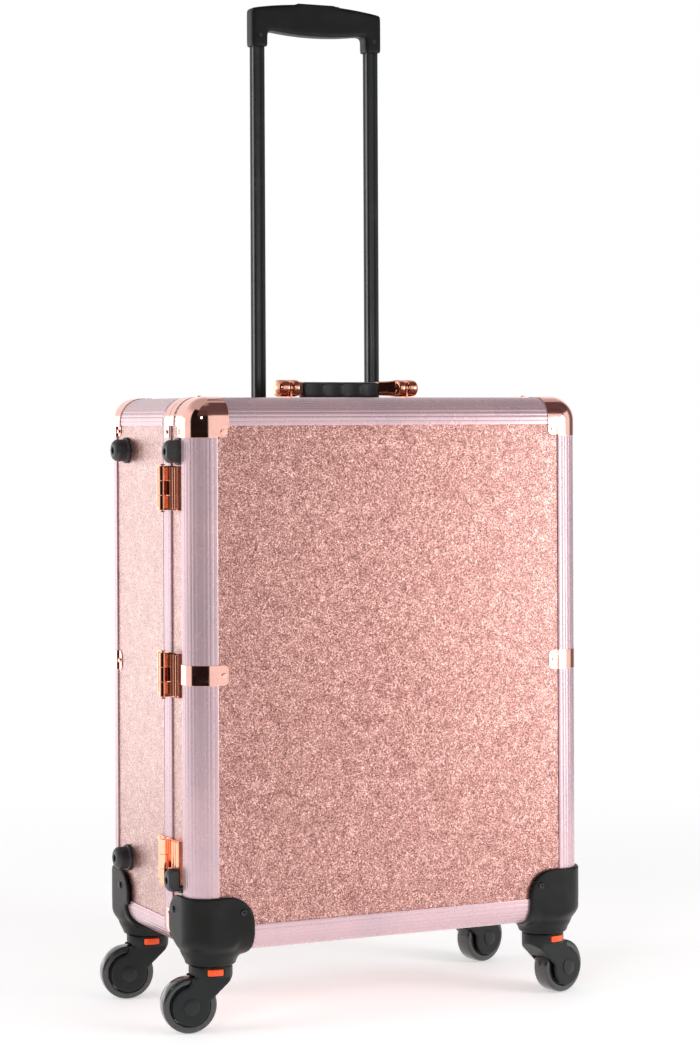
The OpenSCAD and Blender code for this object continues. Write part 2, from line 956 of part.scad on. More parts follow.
// Folded brackets that carry the outer tubes on the back panel
module trolley_brackets() {
    half = trolley_x + outer_w;
    y0 = trolley_y + outer_w / 2;
    y1 = back_y - flange_in;
    color(steel) centred() for (z = [0.25, 0.8]) {
        translate([-half, y0, top_z - z * outer_len]) {
            cube([2 * half, y1 - y0, 2]);
            cube([2 * half, 2, 24]);
            translate([0, y1 - y0 - 2, -22]) cube([2 * half, 2, 24]);
        }
    }
}

// Trolley: parts that slide

module trolley_inner_tubes() {
    color(black) centred() at_tubes(tube_low)
        square_tube(tube_w, tube_wall, tube_top - tube_low);
}

module trolley_plugs() {
    spigot = tube_w - 2 * tube_wall;
    foot = tube_w + 0.4;
    color(soft_black) centred() at_tubes(tube_low) {
        translate([-foot / 2, -foot / 2, -plug_h]) cube([foot, foot, plug_h]);
        translate([-spigot / 2, -spigot / 2, 0]) cube([spigot, spigot, 12]);
    }
}

// The grip seen from the front, with its lower edge at zero
module grip_outline() {
    rise = grip_crown;
    crown_r = (pow(grip_half, 2) + pow(rise, 2)) / (2 * rise);
    inner = trolley_x - grip_leg / 2;
    span = inner - 8;
    sag_r = (pow(span, 2) + pow(grip_sag, 2)) / (2 * grip_sag);
    difference() {
        intersection() {
            translate([-grip_half, 0]) square([2 * grip_half, grip_h + rise]);
            translate([0, grip_h + rise - crown_r]) circle(crown_r, $fn = 360);
        }
        difference() {
            translate([-inner, -1]) square([2 * inner, grip_gap_h + 1]);
            translate([0, grip_gap_h - grip_sag + sag_r]) circle(sag_r, $fn = 360);
        }
    }
}

// The hollows in the grip for the tubes, the release bar and the button
module grip_hollows() {
    at_tubes(grip_z - 1) translate([-tube_w / 2, -tube_w / 2, 0])
        cube([tube_w, tube_w, tube_top - grip_z + 1]);
    translate([-bar_half - 2, trolley_y - bar_d / 2 - 1, tube_top])
        cube([2 * bar_half + 4, bar_d + 2, bar_low + bar_t + 1 - tube_top]);
    translate([-8, trolley_y - bar_d / 2 - 1, tube_top])
        cube([16, bar_d + 2, button_low - tube_top]);
    translate([0, 0, button_low - button_travel - 0.5])
        button_block(button_w + 2 * run_gap, button_d + 2 * run_gap, grip_h);
}

module button_block(w, d, h) {
    translate([-w / 2, trolley_y - d / 2, 0]) cube([w, d, h]);
}

module grip_half_shell(y0) {
    difference() {
        translate([0, 0, grip_z]) along_y(y0, y0 + grip_d / 2) grip_outline();
        grip_hollows();
    }
}

module grip_front_shell() {
    color(black) centred() grip_half_shell(trolley_y - grip_d / 2);
}

module grip_back_shell() {
    color(black) centred() grip_half_shell(trolley_y);
}

module grip_screws() {
    color(steel) centred() at_tubes(grip_z + 13) translate([0, -grip_d / 2, 0])
        rotate([90, 0, 0]) difference() {
            cylinder(r = 2.2, h = 0.6);
            translate([0, 0, 0.6]) cube([2.4, 0.6, 0.8], center = true);
            translate([0, 0, 0.6]) cube([0.6, 2.4, 0.8], center = true);
        }
}

module trolley_button() {
    top = grip_z + grip_h + grip_crown + 0.8;
    color(soft_black) centred() {
        translate([0, 0, button_low]) button_block(button_w, button_d, top - button_low);
        translate([-6, trolley_y - bar_d / 2, bar_low + bar_t])
            cube([12, bar_d, button_low - bar_low - bar_t]);
    }
}

module release_bar() {
    rod_low = tube_low + 12 + button_travel + 1;
    color(steel) centred() {
        translate([-bar_half, trolley_y - bar_d / 2, bar_low])
            cube([2 * bar_half, bar_d, bar_t]);
        at_tubes(rod_low) cylinder(r = pin_r, h = bar_low - rod_low);
    }
}

// Carry handle

module at_carry_pivots() {
    both_x() translate([carry_x, -carry_y, 0]) children();
}

// A cylinder along X, centred on the carry handle's axis
module carry_round(r, w) {
    translate([-w / 2, 0, carry_axis_z]) rotate([0, 90, 0]) cylinder(r = r, h = w);
}

module carry_bases() {
    lug_r = carry_knuckle_r - 1.5;
    color(copper) centred() at_carry_pivots() {
        translate([-carry_base_w / 2, 5 - carry_base_d / 2, top_z - lip_t])
            cube([carry_base_w, carry_base_d, lip_t]);
        difference() {
            union() {
                carry_round(lug_r, carry_lug_t);
                translate([-carry_lug_t / 2, -lug_r + 1, top_z])
                    cube([carry_lug_t, 2 * lug_r - 2, carry_z]);
            }
            carry_round(carry_pin_r, 2 * carry_lug_t);
        }
    }
}

// The right-hand arm: a slotted knuckle, and a bar that runs in to the grip
module carry_arm_piece() {
    r = carry_knuckle_r;
    slot = carry_lug_t + 2 * run_gap;
    end_y = carry_knuckle_len - r;
    inner = carry_x - carry_knuckle_w / 2;
    grip_end = carry_grip_w / 2;
    half_d = carry_grip_d / 2 - 2;
    difference() {
        union() {
            translate([carry_x, -carry_y, 0]) {
                carry_round(r, carry_knuckle_w);
                translate([0, end_y, 0]) carry_round(r, carry_knuckle_w);
                translate([-carry_knuckle_w / 2, 0, carry_axis_z - r])
                    cube([carry_knuckle_w, end_y, 2 * r]);
            }
            translate([0, -carry_y, carry_axis_z - carry_arm_t / 2])
                linear_extrude(carry_arm_t) polygon([
                    [inner, r / 2], [inner + 2, r / 2], [inner + 2, end_y + r / 2],
                    [grip_end + 5, carry_arm + half_d], [grip_end, carry_arm + half_d],
                    [grip_end, carry_arm - half_d]]);
        }
        translate([carry_x, -carry_y, 0]) {
            carry_round(carry_pin_r + pin_gap, 2 * carry_knuckle_w);
            translate([-slot / 2, -2 * r, carry_axis_z - 2 * r])
                cube([slot, 3 * r, 4 * r]);
        }
    }
}

module carry_arms() {
    color(copper) centred() both_x() carry_arm_piece();
}

// The grip's section, seen from the end, with its near edges rounded
module carry_grip_section() {
    d = carry_grip_d;
    h = carry_grip_t;
    r = 5;
    translate([0, r]) square([d, h - 2 * r]);
    translate([r, 0]) square([d - 2 * r, h]);
    for (p = [[r, r, 180], [d - r, r, 270], [d - r, h - r, 0], [r, h - r, 90]])
        translate([p[0], p[1]]) rotate(p[2]) pie(r);
}

module carry_grip() {
    finger = carry_grip_w / 4;
    cut = finger_cut;
    half_chord = (finger - finger_ridge) / 2;
    finger_r = (pow(half_chord, 2) + pow(cut, 2)) / (2 * cut);
    y0 = carry_arm - carry_y - carry_grip_d / 2;
    color(soft_black) centred() difference() {
        translate([0, y0, carry_grip_low]) along_x(-carry_grip_w / 2, carry_grip_w / 2)
            carry_grip_section();
        for (k = [-1.5 : 1.5])
            translate([k * finger, y0 + cut - finger_r, carry_grip_low - 1])
                cylinder(r = finger_r, h = carry_grip_t + 2);
    }
}

// Latches on the right side

module at_latches() {
    for (k = [-1, 1]) at_latch(k) children();
}

module at_latch(k) {
    translate([right_x, seam_y, ride_h + hinge_z + k * hinge_pitch]) children();
}

module latch_bases() {
    ear_t = 3.5;
    length = latch_pivot + 12;
    y0 = seam_gap / 2;
    color(copper) centred() at_latches() {
        translate([0, y0, -latch_h / 2]) cube([leaf_t, length - y0, latch_h]);
        translate([-lip_t, seam_band, -latch_h / 2])
            cube([lip_t, length - seam_band, latch_h]);
        for (z = [-latch_h / 2, latch_h / 2 - ear_t])
            difference() {
                translate([leaf_t, latch_pivot - 4, z]) cube([6, 8, ear_t]);
                translate([latch_pin_out, latch_pivot, z - 1])
                    cylinder(r = pin_r, h = ear_t + 2);
            }
    }
}

module latch_lever() {
    half = latch_h / 2 - 3.5 - run_gap;
    difference() {
        union() {
            translate([latch_pin_out, latch_pivot, -half])
                cylinder(r = latch_t / 2 + pin_r, h = 2 * half);
            translate([lever_in, -latch_reach - 5, -half])
                cube([latch_t, latch_reach + 5 + latch_pivot, 2 * half]);
            translate([run_gap, -latch_reach, 3 - half])
                cube([lever_in + 1, keeper_lip, 2 * half - 6]);
        }
        translate([latch_pin_out, latch_pivot, -half - 1])
            cylinder(r = pin_r + pin_gap, h = 2 * half + 2);
    }
}

module upper_latch_lever() {
    color(copper) centred() at_latch(1) latch_lever();
}

module lower_latch_lever() {
    color(copper) centred() at_latch(-1) latch_lever();
}

// A keeper plate on the lid's panel, with the lip that the hook holds
module latch_keepers() {
    half = latch_h / 2 - 6;
    lip_y = keeper_lip + run_gap - latch_reach;
    color(copper) centred() at_latches() {
        translate([-lip_t, -latch_reach - 5, -half])
            cube([lip_t, latch_reach + 5 - lid_rim, 2 * half]);
        translate([-lip_t, lip_y, -half])
            cube([lip_t + lever_in - run_gap, keeper_lip, 2 * half]);
    }
}

// The pins of the hinges, the carry handle and the latches, all fixed to the case
module pivot_pins() {
    color(copper) centred() {
        at_hinges() translate([0, 0, -hinge_h / 2 - 1]) {
            cylinder(r = pin_r, h = hinge_h + 2);
            for (z = [-1, hinge_h + 2]) translate([0, 0, z]) cylinder(r = 2.6, h = 1);
        }
        at_carry_pivots() carry_round(carry_pin_r, carry_knuckle_w);
        at_latches() translate([latch_pin_out, latch_pivot, -latch_h / 2])
            cylinder(r = pin_r, h = latch_h);
    }
}

// Casters. Each piece is drawn with its swivel axis at the origin, its wheel
// trailing along +X and its release button on the +Y side.

module at_axle() {
    translate([trail, 0, wheel_r]) rotate([90, 0, 0]) children();
}

// One side of the fork, seen from the side: the arm and the axle disc
module fork_outline() {
    hollow_r = 0.48 * cheek_r;
    difference() {
        union() {
            polygon([
                [-fork_r, head_low], [fork_r, head_low],
                [trail + 0.5 * cheek_r, wheel_r + 0.84 * cheek_r], [trail, wheel_r],
                [trail - 0.97 * cheek_r, wheel_r + 0.2 * cheek_r]]);
            translate([trail, wheel_r]) circle(cheek_r);
        }
        translate([fork_r + hollow_r - 0.4, head_low - 1]) circle(hollow_r);
    }
}

module fork() {
    side = release_w / 2 + run_gap;
    difference() {
        union() {
            intersection() {
                along_y(-fork_half, fork_half) fork_outline();
                union() {
                    cylinder(r = fork_r, h = ride_h);
                    translate([0, -ride_h, 0]) cube([2 * ride_h, 2 * ride_h, ride_h]);
                }
            }
            translate([0, 0, head_low]) cylinder(r = fork_r, h = head_h);
            translate([0, 0, head_low])
                cylinder(r = stub_r, h = ride_h - run_gap - head_low);
        }
        at_axle() cylinder(r = wheel_r + tyre_gap, h = tyre_w + 2 * tyre_gap,
            center = true);
        at_axle() cylinder(r = axle_r + pin_gap, h = 3 * fork_half, center = true);
        translate([-side, fork_r - release_d - release_travel, release_z - run_gap])
            cube([2 * side, 2 * fork_r, release_h + 2 * run_gap]);
    }
}

module release_button() {
    intersection() {
        translate([-release_w / 2, fork_r + release_out - release_d, release_z])
            cube([release_w, release_d, release_h]);
        translate([0, 0, head_low]) cylinder(r = fork_r + release_out, h = head_h);
    }
}

module tyre() {
    at_axle() rotate_extrude() difference() {
        translate([0, -tyre_w / 2])
            round_end(0, wheel_r, 0, tyre_w, shoulder_r, shoulder_r);
        translate([-1, -tyre_w]) square([hub_r + 1, 2 * tyre_w]);
    }
}

// The hub, and the axle with its two caps as one more solid
module hub() {
    boss_w = tyre_w + 2 * tyre_gap - 2 * run_gap;
    at_axle() {
        difference() {
            union() {
                cylinder(r = hub_r, h = hub_w, center = true);
                cylinder(r = 2 * axle_r, h = boss_w, center = true);
            }
            cylinder(r = axle_r, h = 2 * boss_w, center = true);
        }
        cylinder(r = axle_r, h = 2 * (fork_half + run_gap), center = true);
        for (side = [0, 1]) mirror([0, 0, side])
            translate([0, 0, fork_half + run_gap]) cylinder(r = axle_cap_r, h = axle_cap_t);
    }
}

// Places a caster piece: side is 1 for left and -1 for right, rear is 1 or -1
module at_caster(side, rear) {
    heading = side > 0 ? heading_left : heading_right;
    centred() translate([-side * swivel_x, rear * swivel_y, 0])
        rotate([0, 0, heading]) {
            if (side > 0) children();
            if (side < 0) mirror([0, 1, 0]) children();
        }
}

module front_left_fork() { color(black) at_caster(1, -1) fork(); }
module front_left_release() { color(orange) at_caster(1, -1) release_button(); }
module front_left_hub() { color(black) at_caster(1, -1) hub(); }
module front_left_tyre() { color(soft_black) at_caster(1, -1) tyre(); }

module front_right_fork() { color(black) at_caster(-1, -1) fork(); }
module front_right_release() { color(orange) at_caster(-1, -1) release_button(); }
module front_right_hub() { color(black) at_caster(-1, -1) hub(); }
module front_right_tyre() { color(soft_black) at_caster(-1, -1) tyre(); }

module rear_left_fork() { color(black) at_caster(1, 1) fork(); }
module rear_left_release() { color(orange) at_caster(1, 1) release_button(); }
module rear_left_hub() { color(black) at_caster(1, 1) hub(); }
module rear_left_tyre() { color(soft_black) at_caster(1, 1) tyre(); }

module rear_right_fork() { color(black) at_caster(-1, 1) fork(); }
module rear_right_release() { color(orange) at_caster(-1, 1) release_button(); }
module rear_right_hub() { color(black) at_caster(-1, 1) hub(); }
module rear_right_tyre() { color(soft_black) at_caster(-1, 1) tyre(); }

back_panel();
side_panels();
top_panel();
bottom_panel();
frame_bars();
seam_frame();
case_edge_caps();
case_rivets();
case_lining();
hinge_case_leaves();
case_bumpers();
rear_corner_feet();
rear_foot_screws();
trolley_outer_tubes();
trolley_brackets();
trolley_collars();
carry_bases();
latch_bases();
pivot_pins();
lid_front_panel();
lid_wall_panels();
lid_frame_bars();
lid_seam_frame();
lid_edge_caps();
lid_rivets();
lid_lining();
hinge_lid_leaves();
lid_bumpers();
front_corner_feet();
front_foot_screws();
latch_keepers();
trolley_inner_tubes();
trolley_plugs();
grip_front_shell();
grip_back_shell();
grip_screws();
trolley_button();
release_bar();
carry_arms();
carry_grip();
upper_latch_lever();
lower_latch_lever();
front_left_fork();
front_left_release();
front_left_hub();
front_left_tyre();
front_right_fork();
front_right_release();
front_right_hub();
front_right_tyre();
rear_left_fork();
rear_left_release();
rear_left_hub();
rear_left_tyre();
rear_right_fork();
rear_right_release();
rear_right_hub();
rear_right_tyre();
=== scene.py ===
"""A rolling makeup case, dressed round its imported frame.

Run as a script: every piece is built in the frame's own place, in metres.
"""

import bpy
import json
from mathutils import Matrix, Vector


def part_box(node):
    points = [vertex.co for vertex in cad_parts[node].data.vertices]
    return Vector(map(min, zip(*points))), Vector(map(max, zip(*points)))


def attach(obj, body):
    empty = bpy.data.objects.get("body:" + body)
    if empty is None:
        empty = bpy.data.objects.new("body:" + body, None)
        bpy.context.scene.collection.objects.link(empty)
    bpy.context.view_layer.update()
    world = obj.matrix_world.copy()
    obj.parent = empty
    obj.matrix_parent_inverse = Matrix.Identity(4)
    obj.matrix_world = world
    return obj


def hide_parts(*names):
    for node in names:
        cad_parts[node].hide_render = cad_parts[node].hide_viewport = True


bl_info = {
    "name": "Rolling makeup case",
    "version": (1, 0, 0),
    "blender": (4, 5, 0),
    "location": "View3D > Sidebar > Makeup case",
    "description": "Dresses the frame of a rolling makeup case and lights it",
    "category": "Add Mesh",
}

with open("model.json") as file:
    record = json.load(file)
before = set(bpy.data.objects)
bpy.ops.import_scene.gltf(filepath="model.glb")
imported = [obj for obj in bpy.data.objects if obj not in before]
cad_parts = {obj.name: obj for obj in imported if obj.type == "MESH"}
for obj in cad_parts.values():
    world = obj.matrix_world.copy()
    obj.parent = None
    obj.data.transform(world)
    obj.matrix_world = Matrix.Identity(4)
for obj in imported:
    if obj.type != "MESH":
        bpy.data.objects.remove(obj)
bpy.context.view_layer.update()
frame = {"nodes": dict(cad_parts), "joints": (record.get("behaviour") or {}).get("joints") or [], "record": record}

import json
import math

import bmesh
import bpy
from mathutils import Matrix, Vector

MM = 0.001


# Where things are, read from the frame

def low(node):
    """The lowest corner of a frame node, in millimetres."""
    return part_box(node)[0] / MM


def high(node):
    """The highest corner of a frame node, in millimetres."""
    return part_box(node)[1] / MM


def joint(name):
    """One of the frame's joints."""
    return next(entry for entry in frame["joints"] if entry["name"] == name)


LEFT, RIGHT = low("frame_bars").x, high("frame_bars").x
FRONT, BACK = low("lid_frame_bars").y, high("frame_bars").y
UNDER, TOP = low("frame_bars").z, high("frame_bars").z
MIDDLE = (LEFT + RIGHT) / 2
SEAM = joint("lid_swing")["pos_m"][1] / MM

# Frame bars in millimetres: how far a bar reaches from the case's corner, its outer radius,
# its lip over a panel, the panel, its inner wall and the bottom of the panel's slot

BAND = 28.0
EDGE_R = 24.0
LIP = 1.5
PANEL_T = 5.0
PANEL_BACK = LIP + PANEL_T
WALL = 8.0
SLOT = 18.3

# The seam in millimetres: how far behind it the case's bars start, how deep its rim is
# solid, the lid's rim, the lid's tongue and the play between lid and case

SEAM_BAND = 20.0
SEAM_RIM = 10.0
LID_RIM = 2.0
TONGUE_T = 1.3
FIT = 0.3

# Wheels in millimetres, with the count of ribs on each face of a hub

WHEEL_R = 28.0
TYRE_W = 20.0
HUB_R = 20.0
HUB_W = 15.0
HUB_RIBS = 6
AXLE_R = 4.0
AXLE_CAP_R = 8.0
AXLE_HALF = 17.0

# Corner feet in millimetres: where the socket's middle is from the case's corner, its radius,
# how far under the case it ends and starts to flare, the bore for the caster's stem, the
# foot's wall, and the neck's height, its flare and how softly it meets the foot

SOCKET_X = 31.0
SOCKET_Y = 32.0
SOCKET_R = 25.5
SOCKET_DROP = 12.5
FLARE_DROP = 9.0
STEM_BORE_R = 7.5
FOOT_T = 4.0
NECK_H = 28.0
NECK_FLARE = 15.0
NECK_BLEND = 8.0

# Handles in millimetres: the carry handle's knuckles and grip, how far its knuckles' domes
# rise as a share of their radius and start inside, and the edge of the trolley's tubes

CARRY_X = 67.0
CARRY_GRIP_W = 86.0
KNUCKLE_R = 9.0
DOME_RISE = 0.6
DOME_ROOT = 4.0
TUBE_EDGE_R = 1.8

# The seam rim's lip and its far edge in millimetres, as inset and distance from the rim's
# near and far side, and how far its flutes keep from them

RIM_LIP = ((0.35, 0), (0, 0.35), (0, 2.6), (0.5, 3.0), (0.5, 3.8))
RIM_END = ((0.5, -1.8), (0.5, -1.2), (0, -0.9), (0.1, 0))
RIM_FLUTES = (4.2, 2.2)

# The lid rim's near and far edge the same way, and how far its tongue's tip is eased, along
# and across

LID_LIP = ((0.1, 0), (0, 0.2))
LID_END = ((0, -0.35), (0.35, 0))
TIP_EASE = (0.4, 0.3)

# The channel in each face of a trolley tube in millimetres, as depth and place across

TUBE_CHANNEL = ((0, -1.6), (0.35, -1.1), (0.35, 1.1), (0, 1.6))

# The carry arm's shoulder at the grip and at the knuckle in millimetres: distance from the
# handle's middle, nearest and farthest place behind the pivot, and half its height

SHOULDERS = ((CARRY_GRIP_W / 2 - 0.5, 15.5, 29.5, 7.2), (CARRY_X - 6, -4.0, 18.0, 8.2))

# The tyre's crown drop, its shoulder's width, drop and bulge, and its side down to the
# hub as radius and depth from the tyre's face

CROWN_DROP = 0.5
SHOULDER_W, SHOULDER_DROP, SHOULDER_BULGE = 3.0, 3.2, 2.6
TYRE_SIDE = ((WHEEL_R - 4.6, 0.3), (HUB_R + 1.2, 0.2), (HUB_R + 0.6, 0.5), (HUB_R, 1.2))

# One half of the hub, as radius and height over the hub's face, then the axle cap, as
# radius and depth from the axle's end, then a rib between its two radii

HUB_FACE = ((HUB_R - 0.3, 0.6), (HUB_R - 2.2, 0.6), (HUB_R - 3.0, -1.2), (9.5, -2.0),
            (9.0, 1.4), (8.2, 2.4), (AXLE_R, 2.4))
AXLE_CAP = ((0, 0), (4.6, 0.05), (6.9, 0.35), (AXLE_CAP_R, 0.9), (AXLE_CAP_R, 1.2),
            (AXLE_R, 1.2))
RIB = ((8.8, -2.2), (HUB_R - 2.4, -2.2), (HUB_R - 2.4, 0.3), (8.8, 1.2))
RIB_HALF = 0.7

# How each piece's edges are eased: the radius as a share of the setting for moulded edges,
# the steps across it, and the least angle in degrees that counts as an edge

EASING = {
    "case_lining": (1.125, 3, 32), "lid_lining": (1.125, 3, 32),
    "case_edge_caps": (0.275, 2, 40), "lid_edge_caps": (0.275, 2, 40),
    "hinge_case_leaves": (0.4375, 3, 40), "hinge_lid_leaves": (0.4375, 3, 40),
    "latch_bases": (0.5, 3, 40), "latch_keepers": (0.5, 3, 40),
    "upper_latch_lever": (0.5, 3, 40), "lower_latch_lever": (0.5, 3, 40),
    "case_bumpers": (1, 3, 40), "lid_bumpers": (1, 3, 40),
    "trolley_plugs": (0.625, 2, 32), "trolley_collars": (0.5, 2, 32),
    "trolley_button": (2, 4, 32), "carry_bases": (0.625, 3, 32), "release": (1.125, 3, 32),
}

# How each moulding is remeshed: the cell in metres and the rounds of smoothing

MOULDED = {
    "corner_feet": (0.0011, 12), "trolley_grip": (0.0008, 60), "carry_arms": (0.0007, 22),
    "carry_grip": (0.0009, 10), "fork": (0.0007, 14),
}

# Points nearer than this are welded, in metres; faces flatter than this are merged, in
# radians

WELD = 0.00001
FLAT = math.radians(0.5)

# The angles in degrees above which the edges of bars, tubes, wheels and mouldings stay sharp

BAR_SHARP = 28
TUBE_SHARP = 35
WHEEL_SHARP = 40
MOULDED_SHARP = 60

# The radius of the stage's floor in metres

FLOOR_R = 1.7

# The soft cards that the world mirrors in metal: heading, half width and soft edge in
# degrees, lowest and highest upright share of the direction, how full, and the colour

CARDS = (
    (-138, 40, 6, -0.6, 0.75, 1.0, (0.014, 0.009, 0.008)),
    (-47, 3, 3, -0.6, 0.7, 0.8, (0.05, 0.035, 0.032)),
    (12, 14, 10, -0.6, 0.7, 0.85, (0.05, 0.035, 0.032)),
    (-65, 80, 10, 0.5, 0.95, 0.95, (0.10, 0.06, 0.065)),
    (112, 24, 14, -0.22, 0.12, 1.0, (2.25, 2.15, 2.15)))

# What is cut from a foot's neck in metres: a block as the case's corner, and the bore's height

BLOCK = 0.4
BORE_H = 0.08

# How far round a button the moulding that holds it stays as it is, in millimetres

HELD = Vector((2.5, 2.5, 2.5))

# One flute as places across it and how deep each lies

REED = ((0, 1), (0.1, 0.6), (0.25, 0.14), (0.5, 0), (0.75, 0.14), (0.9, 0.6))

# The steps of a quarter turn after its start, in radians, for small rounded edges

QUARTER = [math.radians(angle) for angle in range(15, 91, 15)]

# How finely round forms are drawn

CORNER_STEPS = 14
BLOCK_STEPS = 12
NECK_STEPS = 72
NECK_RINGS = 14
BORE_STEPS = 48
DOME_STEPS = 36
CROWN_STEPS = 12
TYRE_STEPS = 96
HUB_STEPS = 72
CAP_STEPS = 48
FLOOR_STEPS = 96

# The stage's lamps: name, place and aim in metres, size, power in watts, and whether
# metal mirrors it

LAMPS = (
    ("key", (-3.4, 0.2, 1.2), (-0.2, 0, 0.3), (2.2, 2.2), 56, False),
    ("front", (2.0, -3.4, 0.9), (0, 0, 0.15), (2.0, 2.0), 34, False),
    ("top", (0.2, 0.4, 3.4), (0, 0, 0.5), (1.8, 1.8), 4, False),
    ("fill", (-2.4, -2.4, 0.8), (0, 0, 0.4), (1.6, 1.6), 22, False),
    ("spark", (-1.9, -2.3, 1.5), (-0.2, -0.1, 0.5), (0.36, 0.36), 7.0, True),
    ("window", (0.71, -0.76, 0.46), (0.25, -0.13, 0.46), (0.34, 0.88), 3.8, True))

# The camera, in metres and radians

CAMERA_AT = Vector((-1.17396, -2.51297, 0.60501))
CAMERA_HEADING = -0.439865
CAMERA_ROLL = -0.004448
LENS = 90.089
SHIFT = -0.09812


# Settings a user would change

class CaseColours(bpy.types.PropertyGroup):
    """Colours of the case's finishes."""

    film: bpy.props.FloatVectorProperty(
        name="Panel film", description="Colour of the crinkled metallic film on the panels",
        subtype="COLOR", size=3, min=0, max=1, default=(0.36, 0.131, 0.109))
    # Painted shade: the darker colour given to the film's hollows.
    film_painted_shade: bpy.props.FloatVectorProperty(
        name="Film hollows", description="Colour in the hollows of the crinkled film",
        subtype="COLOR", size=3, min=0, max=1, default=(0.055, 0.019, 0.015))
    # Painted highlight: the lighter colour given to the film's ridges.
    film_painted_highlight: bpy.props.FloatVectorProperty(
        name="Film ridges", description="Colour of the ridges of the crinkled film",
        subtype="COLOR", size=3, min=0, max=1, default=(0.90, 0.61, 0.55))
    anodised: bpy.props.FloatVectorProperty(
        name="Frame", description="Colour of the anodised frame bars",
        subtype="COLOR", size=3, min=0, max=1, default=(0.54, 0.39, 0.43))
    rose: bpy.props.FloatVectorProperty(
        name="Caps", description="Colour of the plated corner caps and straps",
        subtype="COLOR", size=3, min=0, max=1, default=(0.98, 0.57, 0.49))
    copper: bpy.props.FloatVectorProperty(
        name="Hinges", description="Colour of the plated hinges, latches and handle arms",
        subtype="COLOR", size=3, min=0, max=1, default=(0.95, 0.46, 0.31))
    moulding: bpy.props.FloatVectorProperty(
        name="Mouldings", description="Colour of the black moulded feet, forks and grip",
        subtype="COLOR", size=3, min=0, max=1, default=(0.0050, 0.0054, 0.0052))
    button: bpy.props.FloatVectorProperty(
        name="Release buttons", description="Colour of the casters' release buttons",
        subtype="COLOR", size=3, min=0, max=1, default=(0.90, 0.07, 0.008))
    lining: bpy.props.FloatVectorProperty(
        name="Lining", description="Colour of the woven lining",
        subtype="COLOR", size=3, min=0, max=1, default=(0.022, 0.019, 0.021))


class CaseSizes(bpy.types.PropertyGroup):
    """Sizes of the case's surface detail."""

    flute_pitch: bpy.props.FloatProperty(
        name="Flute pitch", description="Distance between the fine flutes of the frame bars",
        unit="LENGTH", min=0.0015, max=0.008, default=0.0046)
    flute_depth: bpy.props.FloatProperty(
        name="Flute depth", description="Depth of the fine flutes of the frame bars",
        unit="LENGTH", min=0, max=0.0008, default=0.0003)
    crinkle: bpy.props.FloatProperty(
        name="Crinkle size", description="Size of the wrinkles in the panel film",
        unit="LENGTH", min=0.0003, max=0.005, default=0.0013)
    edge: bpy.props.FloatProperty(
        name="Moulded edge", description="Radius of the small edges of moulded pieces",
        unit="LENGTH", min=0.0001, max=0.002, default=0.0008)


def colours():
    """The scene's colour settings."""
    return bpy.context.scene.case_colours


def sizes():
    """The scene's size settings."""
    return bpy.context.scene.case_sizes


# Materials

class Field:
    """A socket's value in a material, with the sums that the finishes use."""

    def __init__(self, graph, socket):
        self.graph = graph
        self.socket = socket

    def _sum(self, operation, first, second):
        return self.graph.node("ShaderNodeMath", {"operation": operation}, {0: first, 1: second})

    def __add__(self, other):
        return self._sum("ADD", self, other)

    def __radd__(self, other):
        return self._sum("ADD", other, self)

    def __sub__(self, other):
        return self._sum("SUBTRACT", self, other)

    def __rsub__(self, other):
        return self._sum("SUBTRACT", other, self)

    def __mul__(self, other):
        return self._sum("MULTIPLY", self, other)

    def __rmul__(self, other):
        return self._sum("MULTIPLY", other, self)

    def __truediv__(self, other):
        return self._sum("DIVIDE", self, other)


